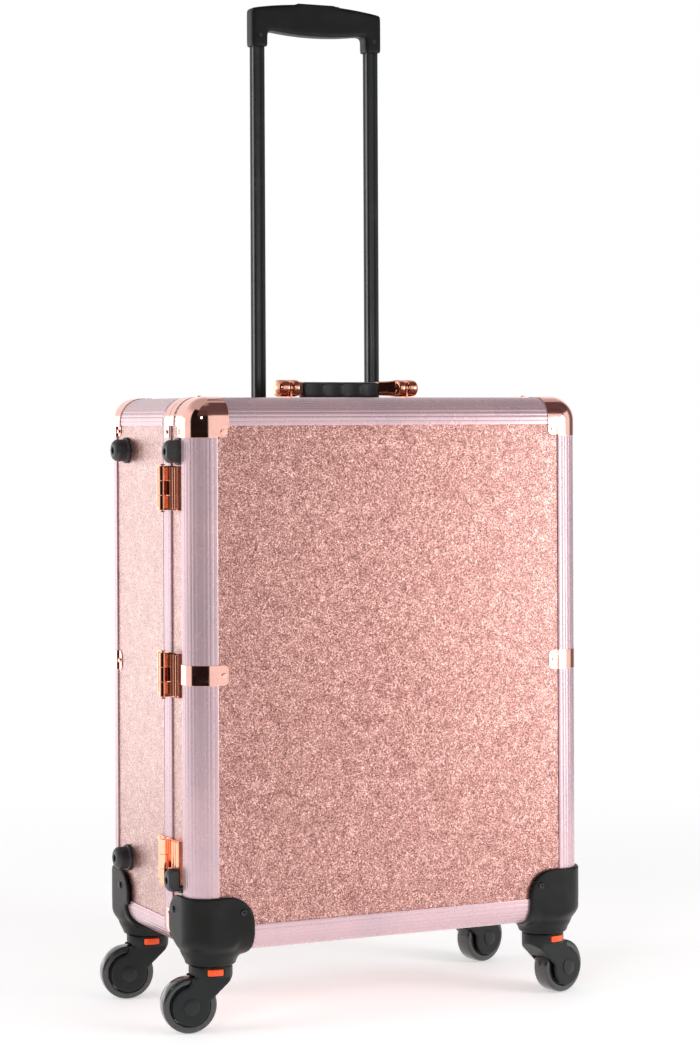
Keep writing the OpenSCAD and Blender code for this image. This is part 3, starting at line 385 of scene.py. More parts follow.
class Graph:
    """The nodes of a new material, or of a given world, built by expressions."""

    def __init__(self, name, world=None):
        self.material = world or bpy.data.materials.new(name)
        self.material.use_nodes = True
        self.tree = self.material.node_tree
        self.tree.nodes.clear()

    def node(self, kind, settings=None, inputs=None, out=0):
        """Adds a node, sets it up, fills its sockets and gives one of its outputs."""
        made = self.tree.nodes.new(kind)
        for key, value in (settings or {}).items():
            setattr(made, key, value)
        for key, value in (inputs or {}).items():
            self.fill(made.inputs[key], value)
        return Field(self, made.outputs[out]) if made.outputs else None

    def fill(self, socket, value):
        """Links a field to a socket, or sets the socket's own value."""
        if isinstance(value, Field):
            self.tree.links.new(value.socket, socket)
        elif isinstance(value, (int, float)) and hasattr(socket.default_value, "__len__"):
            socket.default_value = [value] * len(socket.default_value)
        elif hasattr(value, "__len__") and len(socket.default_value) == 4 and len(value) == 3:
            socket.default_value = (*value, 1)
        else:
            socket.default_value = value

    def place(self):
        """The point on the surface, in the object's own metres."""
        return self.node("ShaderNodeTexCoord", out="Object")

    def stretched(self, scale):
        """The point on the surface, scaled along each axis."""
        return self.node("ShaderNodeVectorMath", {"operation": "MULTIPLY"},
                         {0: self.place(), 1: scale}, out="Vector")

    def noise(self, size, detail=2.0, roughness=0.5, where=None, distortion=0.0):
        """Soft noise with lumps of about the given size in metres."""
        return self.node("ShaderNodeTexNoise", None, {
            "Vector": where or self.place(), "Scale": 1 / size, "Detail": detail,
            "Roughness": roughness, "Distortion": distortion}, out="Fac")

    def cells(self, size):
        """The random colours of cells of about the given size in metres."""
        return self.node("ShaderNodeTexVoronoi", {"feature": "F1"}, {
            "Vector": self.place(), "Scale": 1 / size}, out="Color")

    def between(self, value, a, b, low=0.0, high=1.0):
        """Maps a value smoothly from a..b to low..high."""
        return self.node("ShaderNodeMapRange", {"interpolation_type": "SMOOTHSTEP"}, {
            "Value": value, "From Min": a, "From Max": b, "To Min": low, "To Max": high})

    def blend(self, mask, first, second):
        """Mixes two colours by a mask."""
        return self.node("ShaderNodeMix", {"data_type": "RGBA"}, {
            "Factor": mask, 6: first, 7: second}, out=2)

    def bump(self, height, strength, depth):
        """A normal from a height, with the height's real depth in metres."""
        return self.node("ShaderNodeBump", None, {
            "Height": height, "Strength": strength, "Distance": depth})

    def surface(self, **sockets):
        """Ends the material in one Principled shader."""
        names = {key.replace("_", " "): value for key, value in sockets.items()}
        shader = self.node("ShaderNodeBsdfPrincipled", None, names)
        self.node("ShaderNodeOutputMaterial", None, {"Surface": shader})
        return self.material


def crinkled_film():
    """Metallic rose film with a fine random crinkle, with painted shade in its hollows and painted highlight on
    its ridges.
    """
    g = Graph("crinkled_film")
    size = sizes().crinkle
    wrinkle = g.noise(size * 1.6, 4.0, 0.75, distortion=2.2)
    grit = g.noise(size * 0.9, 2.0, 0.7, distortion=0.8)
    height = wrinkle * 0.6 + grit * 0.4
    patch = g.noise(0.011, 3.0, 0.6, distortion=0.8)
    lifted = height + (patch - 0.5) * 0.10
    # Painted shade in the crinkle's hollows and painted highlight on its ridges, set by height.
    hollow = g.between(lifted, 0.50, 0.43)
    painted_highlight_mask = g.between(lifted, 0.525, 0.58)
    shade = g.blend(hollow * 0.95, tuple(colours().film), tuple(colours().film_painted_shade))
    colour = g.blend(painted_highlight_mask, shade, tuple(colours().film_painted_highlight))
    return g.surface(
        Base_Color=colour, Metallic=0.85, Roughness=g.between(grit, 0.3, 0.7, 0.24, 0.40),
        Normal=g.bump(height, 0.6, 0.0006), Coat_Weight=1.0, Coat_Roughness=0.28)


def anodised_bars():
    """Satin anodised aluminium of the frame bars and rims."""
    g = Graph("anodised_bars")
    cloud = g.noise(0.09, 2.0, 0.5)
    drawn = g.noise(0.02, 3.0, 0.6)
    colour = g.blend(g.between(cloud, 0.35, 0.65), tuple(colours().anodised),
                     (0.60, 0.42, 0.455))
    return g.surface(
        Base_Color=colour, Metallic=0.47, Roughness=g.between(drawn, 0.3, 0.7, 0.25, 0.30))


def plated(name, colour, tarnish):
    """Polished plating with faint handling marks."""
    g = Graph(name)
    marks = g.noise(0.012, 4.0, 0.6)
    fine = g.noise(0.0012, 2.0, 0.5)
    tint = g.blend(g.between(marks, 0.45, 0.8, 0.0, 0.5), tuple(colour), tarnish)
    return g.surface(
        Base_Color=tint, Metallic=1.0,
        Roughness=g.between(marks, 0.35, 0.75, 0.06, 0.14),
        Normal=g.bump(fine, 0.04, 0.0002))


def rose_plating():
    """Rose gold plating of the caps and straps."""
    return plated("rose_plating", colours().rose, (0.80, 0.45, 0.36))


def copper_plating():
    """Copper plating of the hinges, latches and handle arms."""
    return plated("copper_plating", colours().copper, (0.70, 0.28, 0.16))


def black_moulding():
    """Black moulded plastic with a fine spark texture, a little paler and bluer low down."""
    g = Graph("black_moulding")
    spark = g.noise(0.0009, 3.0, 0.65)
    wear = g.noise(0.03, 3.0, 0.5)
    rise = g.node("ShaderNodeSeparateXYZ", None, {0: g.place()}, out="Z")
    # Colour turns paler and bluer below about 6 to 7 cm up.
    paler_below = g.between(rise, 0.070, 0.058) * 0.85
    clean = g.blend(g.between(wear, 0.4, 0.8, 0.0, 0.6), tuple(colours().moulding),
                    (0.015, 0.016, 0.016))
    colour = g.blend(paler_below, clean, (0.0175, 0.0195, 0.0205))
    return g.surface(
        Base_Color=colour, Roughness=g.between(spark, 0.3, 0.7, 0.36, 0.50),
        Normal=g.bump(spark, 0.22, 0.00025), Specular_IOR_Level=0.18)


def soft_black():
    """Soft-touch black of the carry grip and the trolley button."""
    g = Graph("soft_black")
    bloom = g.noise(0.018, 3.0, 0.5)
    fine = g.noise(0.0006, 2.0, 0.6)
    colour = g.blend(g.between(bloom, 0.35, 0.75), (0.011, 0.011, 0.012), (0.020, 0.020, 0.022))
    return g.surface(
        Base_Color=colour, Roughness=g.between(bloom, 0.3, 0.7, 0.42, 0.56),
        Normal=g.bump(fine, 0.15, 0.0002), Sheen_Weight=0.15)


def bumper_rubber():
    """Dense black rubber."""
    g = Graph("bumper_rubber")
    dust = g.noise(0.006, 4.0, 0.6)
    fine = g.noise(0.0008, 2.0, 0.6)
    colour = g.blend(g.between(dust, 0.45, 0.8), (0.016, 0.017, 0.018), (0.045, 0.045, 0.047))
    return g.surface(
        Base_Color=colour, Roughness=g.between(dust, 0.3, 0.8, 0.40, 0.62),
        Normal=g.bump(fine, 0.2, 0.0002))


def wheel_tread():
    """Glossy black wheel tread, rubbed a little by the floor."""
    g = Graph("wheel_tread")
    rub = g.noise(0.009, 4.0, 0.6)
    colour = g.blend(g.between(rub, 0.5, 0.85), (0.018, 0.020, 0.021), (0.045, 0.046, 0.048))
    return g.surface(
        Base_Color=colour, Roughness=g.between(rub, 0.35, 0.8, 0.16, 0.34),
        Normal=g.bump(rub, 0.05, 0.0003), Coat_Weight=0.3, Coat_Roughness=0.12)


def wheel_hub():
    """Satin black plastic of the wheel hubs and axle caps."""
    g = Graph("wheel_hub")
    fine = g.noise(0.0009, 2.0, 0.6)
    colour = g.blend(g.between(fine, 0.3, 0.7), (0.013, 0.0145, 0.0155), (0.019, 0.021, 0.022))
    return g.surface(
        Base_Color=colour, Roughness=g.between(fine, 0.3, 0.7, 0.32, 0.44),
        Normal=g.bump(fine, 0.12, 0.0002), Specular_IOR_Level=0.24)


def button_orange():
    """Moulded orange plastic of the release buttons."""
    g = Graph("button_orange")
    cloud = g.noise(0.004, 2.0, 0.5)
    colour = g.blend(g.between(cloud, 0.3, 0.75), tuple(colours().button), (0.96, 0.12, 0.02))
    return g.surface(
        Base_Color=colour, Roughness=g.between(cloud, 0.3, 0.7, 0.30, 0.40),
        Normal=g.bump(cloud, 0.05, 0.0002))


def woven_lining():
    """Dark woven cloth glued to the lining boards."""
    g = Graph("woven_lining")
    across, up, along = (
        g.node("ShaderNodeTexWave", {"wave_type": "BANDS", "bands_direction": axis}, {
            "Vector": g.place(), "Scale": 260.0, "Distortion": 0.6, "Detail": 1.0}, out="Fac")
        for axis in "XZY")
    weave = (across + up + along) / 3
    cloud = g.noise(0.05, 3.0, 0.55)
    dark = g.blend(g.between(cloud, 0.3, 0.7), tuple(colours().lining), (0.040, 0.034, 0.037))
    colour = g.blend(g.between(weave, 0.35, 0.75), dark, (0.065, 0.056, 0.060))
    return g.surface(
        Base_Color=colour, Roughness=g.between(weave, 0.3, 0.8, 0.95, 0.8),
        Normal=g.bump(weave, 0.5, 0.0004), Sheen_Weight=0.3, Sheen_Roughness=0.5)


def zinc_steel():
    """Zinc-plated steel of the hidden tubes and brackets."""
    g = Graph("zinc_steel")
    spangle = g.cells(0.006)
    streak = g.noise(0.002, 3.0, 0.6, where=g.stretched((1, 1, 0.05)))
    colour = g.blend(g.between(streak, 0.3, 0.7), (0.50, 0.50, 0.52), (0.66, 0.66, 0.69))
    return g.surface(
        Base_Color=g.blend(0.08, colour, spangle), Metallic=1.0,
        Roughness=g.between(streak, 0.3, 0.7, 0.28, 0.42))


def black_tube():
    """Black coated tube with a faint drawn grain."""
    g = Graph("black_tube")
    grain = g.noise(0.0012, 2.0, 0.6, where=g.stretched((1, 1, 0.03)))
    scuff = g.noise(0.02, 4.0, 0.6)
    colour = g.blend(g.between(scuff, 0.5, 0.85), (0.008, 0.009, 0.010), (0.022, 0.023, 0.024))
    return g.surface(
        Base_Color=colour, Roughness=g.between(grain, 0.3, 0.7, 0.30, 0.42),
        Normal=g.bump(grain, 0.1, 0.0002), Specular_IOR_Level=0.28)


def dark_screw():
    """Blackened steel of the screw heads."""
    g = Graph("dark_screw")
    fine = g.noise(0.0007, 3.0, 0.6)
    colour = g.blend(g.between(fine, 0.3, 0.7), (0.014, 0.014, 0.016), (0.032, 0.032, 0.035))
    return g.surface(
        Base_Color=colour, Metallic=0.6, Roughness=g.between(fine, 0.3, 0.7, 0.16, 0.26))


FINISHES = {
    "crinkle_panel": crinkled_film,
    "anodised_frame": anodised_bars,
    "rose_chrome": rose_plating,
    "copper_chrome": copper_plating,
    "lining_cloth": woven_lining,
    "bumper_rubber": bumper_rubber,
    "black_moulding": black_moulding,
    "black_soft_touch": soft_black,
    "black_tube": black_tube,
    "plated_steel": zinc_steel,
    "dark_screw": dark_screw,
    "orange_button": button_orange,
    "hub_plastic": wheel_hub,
    "wheel_tread": wheel_tread,
}
SLOT_OF = {part["node"]: part["material_slot"] for part in frame["record"]["subparts"]}
BODY_OF = {node: body
           for body, nodes in frame["record"]["behaviour"]["bodies"].items() for node in nodes}
_finished = {}


def finish(slot):
    """The material of one of the record's slots, made once."""
    if slot not in _finished:
        _finished[slot] = FINISHES[slot]()
    return _finished[slot]


def dress(*nodes):
    """Gives frame nodes that keep their shape the finish of their slot."""
    for node in nodes:
        thing = frame["nodes"][node]
        thing.data.materials.clear()
        thing.data.materials.append(finish(SLOT_OF[node]))


# Making pieces

def placed(name, data):
    """A new object in the scene, in the frame's own place."""
    thing = bpy.data.objects.new(name, data)
    bpy.context.scene.collection.objects.link(thing)
    return thing


def join_frame(name, mesh, nodes, sharp=None):
    """Turns a mesh into the piece that stands for frame nodes of one body and one slot.

    Edges above the sharp angle stay sharp. Without one the mesh keeps its own normals.
    """
    piece = placed(name, mesh)
    slot = SLOT_OF[nodes[0]]
    mesh.materials.clear()
    mesh.materials.append(finish(slot))
    if sharp:
        mesh.shade_smooth()
        mesh.set_sharp_from_angle(angle=math.radians(sharp))
    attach(piece, BODY_OF[nodes[0]])
    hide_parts(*nodes)


def node_mesh(node, merged=True):
    """A copy of a frame node's mesh, welded, with its flat faces merged if asked."""
    made = bmesh.new()
    made.from_mesh(frame["nodes"][node].data)
    bmesh.ops.remove_doubles(made, verts=made.verts, dist=WELD)
    if merged:
        bmesh.ops.dissolve_limit(made, angle_limit=FLAT, verts=made.verts, edges=made.edges,
                                 delimit=set())
    return made


def as_mesh(name, made):
    """Turns worked geometry into a mesh."""
    mesh = bpy.data.meshes.new(name)
    made.to_mesh(mesh)
    made.free()
    return mesh


def finish_mesh(name, made):
    """Turns worked geometry into a mesh with its faces pointing out."""
    bmesh.ops.recalc_face_normals(made, faces=made.faces)
    return as_mesh(name, made)


def working(name, made):
    """A helper object that a modifier reads and that is taken away again."""
    holder = placed(name, as_mesh(name, made))
    holder.hide_render = True
    return holder


def baked(name, made, modifiers):
    """A mesh with modifiers applied: each is a type and its settings."""
    mesh = as_mesh(name, made)
    holder = placed(name + "_work", mesh)
    for kind, settings in modifiers:
        modifier = holder.modifiers.new(kind, kind)
        for key, value in settings.items():
            setattr(modifier, key, value)
    graph = bpy.context.evaluated_depsgraph_get()
    result = bpy.data.meshes.new_from_object(holder.evaluated_get(graph))
    result.name = name
    bpy.data.objects.remove(holder)
    bpy.data.meshes.remove(mesh)
    return result


def eased(node, kind=None):
    """A frame node with its sharp edges rounded off, as its kind is in the table."""
    share, segments, angle = EASING[kind or node]
    bevel = ("BEVEL", {"width": share * sizes().edge, "segments": segments,
                       "limit_method": "ANGLE",
                       "angle_limit": math.radians(angle), "use_clamp_overlap": True,
                       "harden_normals": False, "miter_outer": "MITER_ARC"})
    level = ("WEIGHTED_NORMAL", {"mode": "FACE_AREA", "weight": 100, "keep_sharp": False})
    made = node_mesh(node)
    for face in made.faces:
        face.smooth = True
    join_frame(node + "_eased", baked(node + "_eased", made, [bevel, level]), [node])


def flowed(name, made, kind, held=()):
    """A mesh remeshed and smoothed into one flowing moulding, but not round held nodes."""
    voxel, rounds = MOULDED[kind]
    mesh = baked(name, made, [("REMESH", {"mode": "VOXEL", "voxel_size": voxel})])
    boxes = [(low(node) - HELD, high(node) + HELD) for node in held]
    made = bmesh.new()
    made.from_mesh(mesh)
    free = [v for v in made.verts if not any(
        all(start[k] < v.co[k] / MM < end[k] for k in range(3)) for start, end in boxes)]
    for _ in range(rounds):
        bmesh.ops.smooth_vert(made, verts=free, factor=0.5, use_axis_x=True, use_axis_y=True,
                              use_axis_z=True)
    made.to_mesh(mesh)
    made.free()
    return mesh


def softened(node, kind, extra=None, held=()):
    """A frame node flowed into a moulding, with what extra adds to it."""
    made = node_mesh(node, merged=False)
    if extra:
        extra(made)
    mesh = flowed(node + "_moulded", made, kind, held)
    join_frame(node + "_moulded", mesh, [node], MOULDED_SHARP)


def add_bands(made, rings):
    """Joins each ring of points to the next with a band of faces."""
    for ring, after in zip(rings, rings[1:]):
        for k in range(len(ring)):
            n = (k + 1) % len(ring)
            made.faces.new((ring[k], ring[n], after[n], after[k]))


def add_tube(made, rings):
    """Joins rings of points and closes both ends."""
    add_bands(made, rings)
    made.faces.new(rings[0][::-1])
    made.faces.new(rings[-1])


def add_prism(made, section, start, end, place):
    """Adds a closed prism: a flat section carried from start to end by place(u, v, w)."""
    add_tube(made, [[made.verts.new(Vector(place(u, v, w)) * MM) for u, v in section]
                    for w in (start, end)])


def reeds(start, end):
    """Soft flutes from start to end: places in millimetres and how deep each lies."""
    pitch = sizes().flute_pitch / MM
    depth = sizes().flute_depth / MM
    count = max(1, round((end - start) / pitch))
    wide = (end - start) / count
    points = [(start + (k + part) * wide, depth * dip) for k in range(count)
              for part, dip in REED]
    return points + [(end, depth * REED[0][1])]


def spokes(axis, count):
    """Directions square to an axis, evenly round it."""
    side = axis.orthogonal().normalized()
    other = axis.cross(side)
    for k in range(count):
        angle = 2 * math.pi * k / count
        yield side * math.cos(angle) + other * math.sin(angle)


def lathe(made, profile, centre, axis, steps):
    """Adds a ring turned about an axis from a closed profile of (radius, along) points."""
    rings = [[made.verts.new(centre + (axis * along + out * r) * MM) for r, along in profile]
             for out in spokes(axis, steps)]
    add_bands(made, rings + rings[:1])
    bmesh.ops.remove_doubles(made, verts=made.verts, dist=WELD / 10)


# Frame bars

def bar_section():
    """A bar's section from the case's corner: fluted outside, slotted inside for panels."""
    flat = BAND - EDGE_R
    arc = math.pi * EDGE_R / 2
    outline = []
    for s, dip in reeds(0, 2 * flat + arc):
        if s < flat:
            outline.append((BAND - s, dip))
        elif s > flat + arc:
            outline.append((dip, EDGE_R + s - flat - arc))
        else:
            reach = EDGE_R - dip
            turn = (s - flat) / EDGE_R
            outline.append((EDGE_R - reach * math.sin(turn), EDGE_R - reach * math.cos(turn)))
    return outline + [
        (LIP, BAND), (LIP, SLOT), (PANEL_BACK, SLOT), (PANEL_BACK, BAND), (WALL, BAND),
        (WALL, WALL), (BAND, WALL), (BAND, PANEL_BACK), (SLOT, PANEL_BACK), (SLOT, LIP),
        (BAND, LIP)]


def edge_place(axis, first, second):
    """Maps a section's u and v and a length w to a point beside one edge of the case."""
    def place(u, v, w):
        values = [first[0] + first[1] * u, second[0] + second[1] * v]
        values.insert("xyz".index(axis), w)
        return values
    return place


def make_bars(name, node, face, start_y, end_y):
    """The eight bars of the case or the lid: four round its face and four to its rim."""
    made = bmesh.new()
    section = bar_section()
    sides = ((LEFT, 1), (RIGHT, -1))
    ends = ((UNDER, 1), (TOP, -1))
    for side in sides:
        add_prism(made, section, UNDER + BAND, TOP - BAND, edge_place("z", side, face))
        for end in ends:
            add_prism(made, section, start_y, end_y, edge_place("y", side, end))
    for end in ends:
        add_prism(made, section, LEFT + BAND, RIGHT - BAND, edge_place("x", face, end))
    join_frame(name, finish_mesh(name, made), [node], BAR_SHARP)


def ring_stations():
    """Points round the case's outline with the way out at each, as (x, z, nx, nz)."""
    stations = []
    for cx, cz, begin in ((RIGHT - EDGE_R, TOP - EDGE_R, 0), (LEFT + EDGE_R, TOP - EDGE_R, 90),
                          (LEFT + EDGE_R, UNDER + EDGE_R, 180),
                          (RIGHT - EDGE_R, UNDER + EDGE_R, 270)):
        for k in range(CORNER_STEPS + 1):
            angle = math.radians(begin + 90 * k / CORNER_STEPS)
            nx, nz = math.cos(angle), math.sin(angle)
            stations.append((cx + EDGE_R * nx, cz + EDGE_R * nz, nx, nz))
    return stations


def make_rim(name, node, profile):
    """A rim of the seam, swept round the case's outline from (inset, y) points."""
    made = bmesh.new()
    rings = [[made.verts.new(Vector((x - nx * inset, y, z - nz * inset)) * MM)
              for inset, y in profile] for x, z, nx, nz in ring_stations()]
    add_bands(made, rings + rings[:1])
    join_frame(name, finish_mesh(name, made), [node], BAR_SHARP)


def case_rim_profile():
    """The profile of the case's rim: a lip, flutes, and a slot where the panels end."""
    near, far = low("seam_frame").y, high("seam_frame").y
    stop = SEAM + SEAM_RIM - FIT
    outer = [(inset, near + y) for inset, y in RIM_LIP]
    outer += [(dip, y) for y, dip in reeds(near + RIM_FLUTES[0], far - RIM_FLUTES[1])]
    outer += [(inset, far + y) for inset, y in RIM_END]
    return outer + [(LIP, far), (LIP, stop), (PANEL_BACK, stop), (PANEL_BACK, far),
                    (WALL, far), (WALL, near)]


def lid_rim_profile():
    """The profile of the lid's rim, with the tongue that enters the case."""
    near, far = low("lid_seam_frame").y, SEAM - (low("seam_frame").y - SEAM)
    tip = high("lid_seam_frame").y
    inner = WALL + FIT
    outer = [(inset, near + y) for inset, y in LID_LIP]
    outer += [(inset, far + y) for inset, y in LID_END]
    return outer + [(inner, far), (inner, tip - TIP_EASE[0]), (inner + TIP_EASE[1], tip),
                    (inner + TONGUE_T, tip), (inner + TONGUE_T, near)]


def make_frame():
    """The aluminium frame of the case and the lid."""
    make_bars("case_bars", "frame_bars", (BACK, -1), SEAM + SEAM_BAND, BACK - BAND)
    make_bars("lid_bars", "lid_frame_bars", (FRONT, 1), FRONT + BAND, SEAM - LID_RIM)
    make_rim("case_rim", "seam_frame", case_rim_profile())
    make_rim("lid_rim", "lid_seam_frame", lid_rim_profile())


# Panels and lining

def make_panels():
    """The crinkled panels keep the frame's own shape."""
    dress("back_panel", "side_panels", "top_panel", "bottom_panel", "lid_front_panel",
          "lid_wall_panels")


def make_lining():
    """The cloth-covered boards inside the case and the lid."""
    for node in ("case_lining", "lid_lining"):
        eased(node)


# Caps, hinges, latches and bumpers

def make_caps():
    """The plated corner caps, seam caps and straps, with their rivets."""
    for node in ("case_edge_caps", "lid_edge_caps"):
        eased(node)
    dress("case_rivets", "lid_rivets")


def make_hinges():
    """The three plated hinges and all the plated pins."""
    for node in ("hinge_case_leaves", "hinge_lid_leaves"):
        eased(node)
    dress("pivot_pins")


def make_latches():
    """The two latches on the right side."""
    for node in ("latch_bases", "upper_latch_lever", "lower_latch_lever", "latch_keepers"):
        eased(node)


def make_bumpers():
    """The rubber bumpers beside the hinges."""
    for node in ("case_bumpers", "lid_bumpers"):
        eased(node)


# Corner feet

def neck_reach(angle, rise):
    """How far a neck reaches from its socket's middle, at a height above its flare's start."""
    c, s = math.cos(angle), math.sin(angle)
    near = EDGE_R - SOCKET_X, EDGE_R - SOCKET_Y
    toward = near[0] * c + near[1] * s
    skin = EDGE_R + FOOT_T
    edge = toward + math.sqrt(toward ** 2 + skin ** 2 - near[0] ** 2 - near[1] ** 2)
    if c < 0 and SOCKET_Y + (SOCKET_X + FOOT_T) / -c * s >= EDGE_R:
        edge = (SOCKET_X + FOOT_T) / -c
    if s < 0 and SOCKET_X + (SOCKET_Y + FOOT_T) / -s * c >= EDGE_R:
        edge = (SOCKET_Y + FOOT_T) / -s
    share = min(max(rise / NECK_H, 0), 1)
    flare = SOCKET_R + NECK_FLARE * share * share * (3 - 2 * share)
    part = max(0.5 - abs(edge - flare) / NECK_BLEND, 0)
    return min(edge, flare) - NECK_BLEND / 4 * part * part


def neck_shell(side_reach):
    """A foot's flowing neck, measured from the case's corner and cut short at its reach."""
    neck = bmesh.new()
    rings = []
    rises = [NECK_H * k / NECK_RINGS - FLARE_DROP for k in range(NECK_RINGS + 1)]
    for w in [-SOCKET_DROP] + rises:
        ring = []
        for k in range(NECK_STEPS):
            angle = 2 * math.pi * k / NECK_STEPS
            r = neck_reach(angle, w + FLARE_DROP)
            v = min(SOCKET_Y + r * math.sin(angle), side_reach)
            ring.append(neck.verts.new(Vector((SOCKET_X + r * math.cos(angle), v, w)) * MM))
        rings.append(ring)
    add_tube(neck, rings)
    return neck


def neck_cutters():
    """What is cut from a neck: the case's own rounded corner and the bore for the stem."""
    block = bmesh.new()
    bmesh.ops.create_cube(block, size=BLOCK, matrix=Matrix.Translation([BLOCK / 2] * 3))
    bmesh.ops.bevel(block, geom=block.edges[:], offset=EDGE_R * MM, segments=BLOCK_STEPS,
                    affect="EDGES", profile=0.5)
    bore = bmesh.new()
    bmesh.ops.create_cone(
        bore, cap_ends=True, segments=BORE_STEPS, radius1=STEM_BORE_R * MM,
        radius2=STEM_BORE_R * MM, depth=BORE_H,
        matrix=Matrix.Translation((SOCKET_X * MM, SOCKET_Y * MM, 0)))
    return [working("block", block), working("bore", bore)]


def add_neck(made, side, face, side_reach):
    """Adds a foot's neck at one corner, hollow where the case sits."""
    cutters = neck_cutters()
    mesh = baked("neck", neck_shell(side_reach), [
        ("BOOLEAN", {"operation": "DIFFERENCE", "solver": "EXACT", "object": cutter})
        for cutter in cutters])
    mesh.transform(Matrix(((side[1], 0, 0, side[0] * MM), (0, face[1], 0, face[0] * MM),
                           (0, 0, 1, UNDER * MM), (0, 0, 0, 1))))
    if side[1] * face[1] < 0:
        mesh.flip_normals()
    made.from_mesh(mesh)
    bpy.data.meshes.remove(mesh)
    for cutter in cutters:
        bpy.data.objects.remove(cutter)


def add_necks(made, face, side_reach):
    """Adds the necks of a left foot and a right foot."""
    for side in ((LEFT, 1), (RIGHT, -1)):
        add_neck(made, side, face, side_reach)


def make_feet():
    """The moulded corner feet, with the screws that hold them."""
    softened("front_corner_feet", "corner_feet",
             extra=lambda made: add_necks(made, (FRONT, 1), SEAM - FRONT - FIT))
    softened("rear_corner_feet", "corner_feet",
             extra=lambda made: add_necks(made, (BACK, -1), math.inf))
    dress("front_foot_screws", "rear_foot_screws")


# Trolley

def tube_section(wide, r):
    """A square tube's outline with rounded corners and a shallow channel down each face."""
    half = wide / 2
    channel = [(half - deep, across) for deep, across in TUBE_CHANNEL]
    corner = [(half - r + r * math.cos(angle), half - r + r * math.sin(angle))
              for angle in [0.0] + QUARTER]
    quarter = channel + corner
    points = []
    for k in range(4):
        c, s = round(math.cos(k * math.pi / 2)), round(math.sin(k * math.pi / 2))
        points += [(c * x - s * y, s * x + c * y) for x, y in quarter]
    return points


def make_tubes():
    """The two black tubes that slide, with their plugs."""
    node = "trolley_inner_tubes"
    made = bmesh.new()
    lowest, highest = low(node), high(node)
    wide = highest.y - lowest.y
    for x in (lowest.x + wide / 2, highest.x - wide / 2):
        add_prism(made, tube_section(wide, TUBE_EDGE_R), lowest.z, highest.z,
                  lambda u, v, w: (x + u, (lowest.y + highest.y) / 2 + v, w))
    join_frame("trolley_tubes", finish_mesh("trolley_tubes", made), [node], TUBE_SHARP)
    eased("trolley_plugs")
    eased("trolley_collars")
    dress("trolley_outer_tubes", "trolley_brackets", "release_bar")


def make_grip():
    """The trolley's grip, rounded all over, with its button and screws."""
    made = node_mesh("grip_front_shell", merged=False)
    back = as_mesh("back_half", node_mesh("grip_back_shell", merged=False))
    made.from_mesh(back)
    bpy.data.meshes.remove(back)
    mesh = flowed("trolley_grip", made, "trolley_grip", ["trolley_button"])
    join_frame("trolley_grip", mesh, ["grip_front_shell", "grip_back_shell"], MOULDED_SHARP)
    eased("trolley_button")
    dress("grip_screws")


def fill_arms(made):
    """Fills out the carry arms between knuckles and grip, and domes the knuckles' ends."""
    lowest, highest = low("carry_arms"), high("carry_arms")
    middle = (lowest.z + highest.z) / 2
    add_shoulders(made, lowest.y + KNUCKLE_R, middle)
    pivot_y = joint("carry_handle_lift")["pos_m"][1]
    for sign, end in ((1, highest.x), (-1, lowest.x)):
        add_dome(made, Vector((end * MM, pivot_y, middle * MM)), Vector((sign, 0, 0)),
                 (highest.z - lowest.z) / 2)


def add_shoulders(made, y, middle):
    """Adds the block that joins each carry arm's knuckle to the grip."""
    for sign in (1, -1):
        ends = []
        for u, near, far, half in SHOULDERS:
            ends.append([made.verts.new(Vector((MIDDLE + sign * u, y + v, middle + w)) * MM)
                         for v, w in ((near, -half), (far, -half), (far, half), (near, half))])
        faces = [ends[0], ends[1][::-1]] + [
            [ends[0][k], ends[1][k], ends[1][(k + 1) % 4], ends[0][(k + 1) % 4]]
            for k in range(4)]
        made_faces = [made.faces.new(face) for face in faces]
        bmesh.ops.recalc_face_normals(made, faces=made_faces)


def add_dome(made, centre, axis, r):
    """Adds a low dome on a knuckle's end."""
    profile = [(0, -DOME_ROOT), (r, -DOME_ROOT), (r, 0)]
    profile += [(r * math.cos(angle), DOME_RISE * r * math.sin(angle)) for angle in QUARTER]
    lathe(made, profile, centre, axis, DOME_STEPS)


def make_carry_handle():
    """The folding carry handle: bases, plated arms and rubber grip."""
    eased("carry_bases")
    softened("carry_arms", "carry_arms", extra=fill_arms)
    softened("carry_grip", "carry_grip")


# Casters

def make_caster(corner):
    """One caster: its fork, its release button and its wheel."""
    softened(corner + "_fork", "fork", held=[corner + "_release"])
    eased(corner + "_release", "release")
    roll = joint(corner + "_roll")
    centre, axle = Vector(roll["pos_m"]), Vector(roll["axis"]).normalized()
    make_tread(corner, centre, axle)
    make_hub(corner, centre, axle)


def make_tread(corner, centre, axle):
    """A wheel's tyre, crowned and rounded over its shoulders."""
    side = TYRE_W / 2
    flat = side - SHOULDER_W
    across = [flat * (2 * k / CROWN_STEPS - 1) for k in range(CROWN_STEPS + 1)]
    crown = [(WHEEL_R - CROWN_DROP * (place / flat) ** 2, place) for place in across]
    right = [(WHEEL_R - CROWN_DROP - SHOULDER_DROP * (1 - math.cos(angle)),
              flat + SHOULDER_BULGE * math.sin(angle)) for angle in QUARTER]
    right += [(r, side - deep) for r, deep in TYRE_SIDE]
    made = bmesh.new()
    lathe(made, crown + right + [(r, -place) for r, place in right[::-1]], centre, axle,
          TYRE_STEPS)
    name = corner + "_tread"
    join_frame(name, finish_mesh(name, made), [corner + "_tyre"], WHEEL_SHARP)


def make_hub(corner, centre, axle):
    """A wheel's dished hub, with its ribs and the caps on its axle."""
    face = [(r, HUB_W / 2 + rise) for r, rise in HUB_FACE]
    dish = [(face[0][0], 0)] + face + [(AXLE_R, 0)]
    cap = [(r, AXLE_HALF - deep) for r, deep in AXLE_CAP] + [(AXLE_R, 0), (0, 0)]
    made = bmesh.new()
    add_both_sides(made, dish, centre, axle, HUB_STEPS)
    add_ribs(made, centre, axle)
    add_both_sides(made, cap, centre, axle, CAP_STEPS)
    name = corner + "_wheel_hub"
    join_frame(name, finish_mesh(name, made), [corner + "_hub"], WHEEL_SHARP)


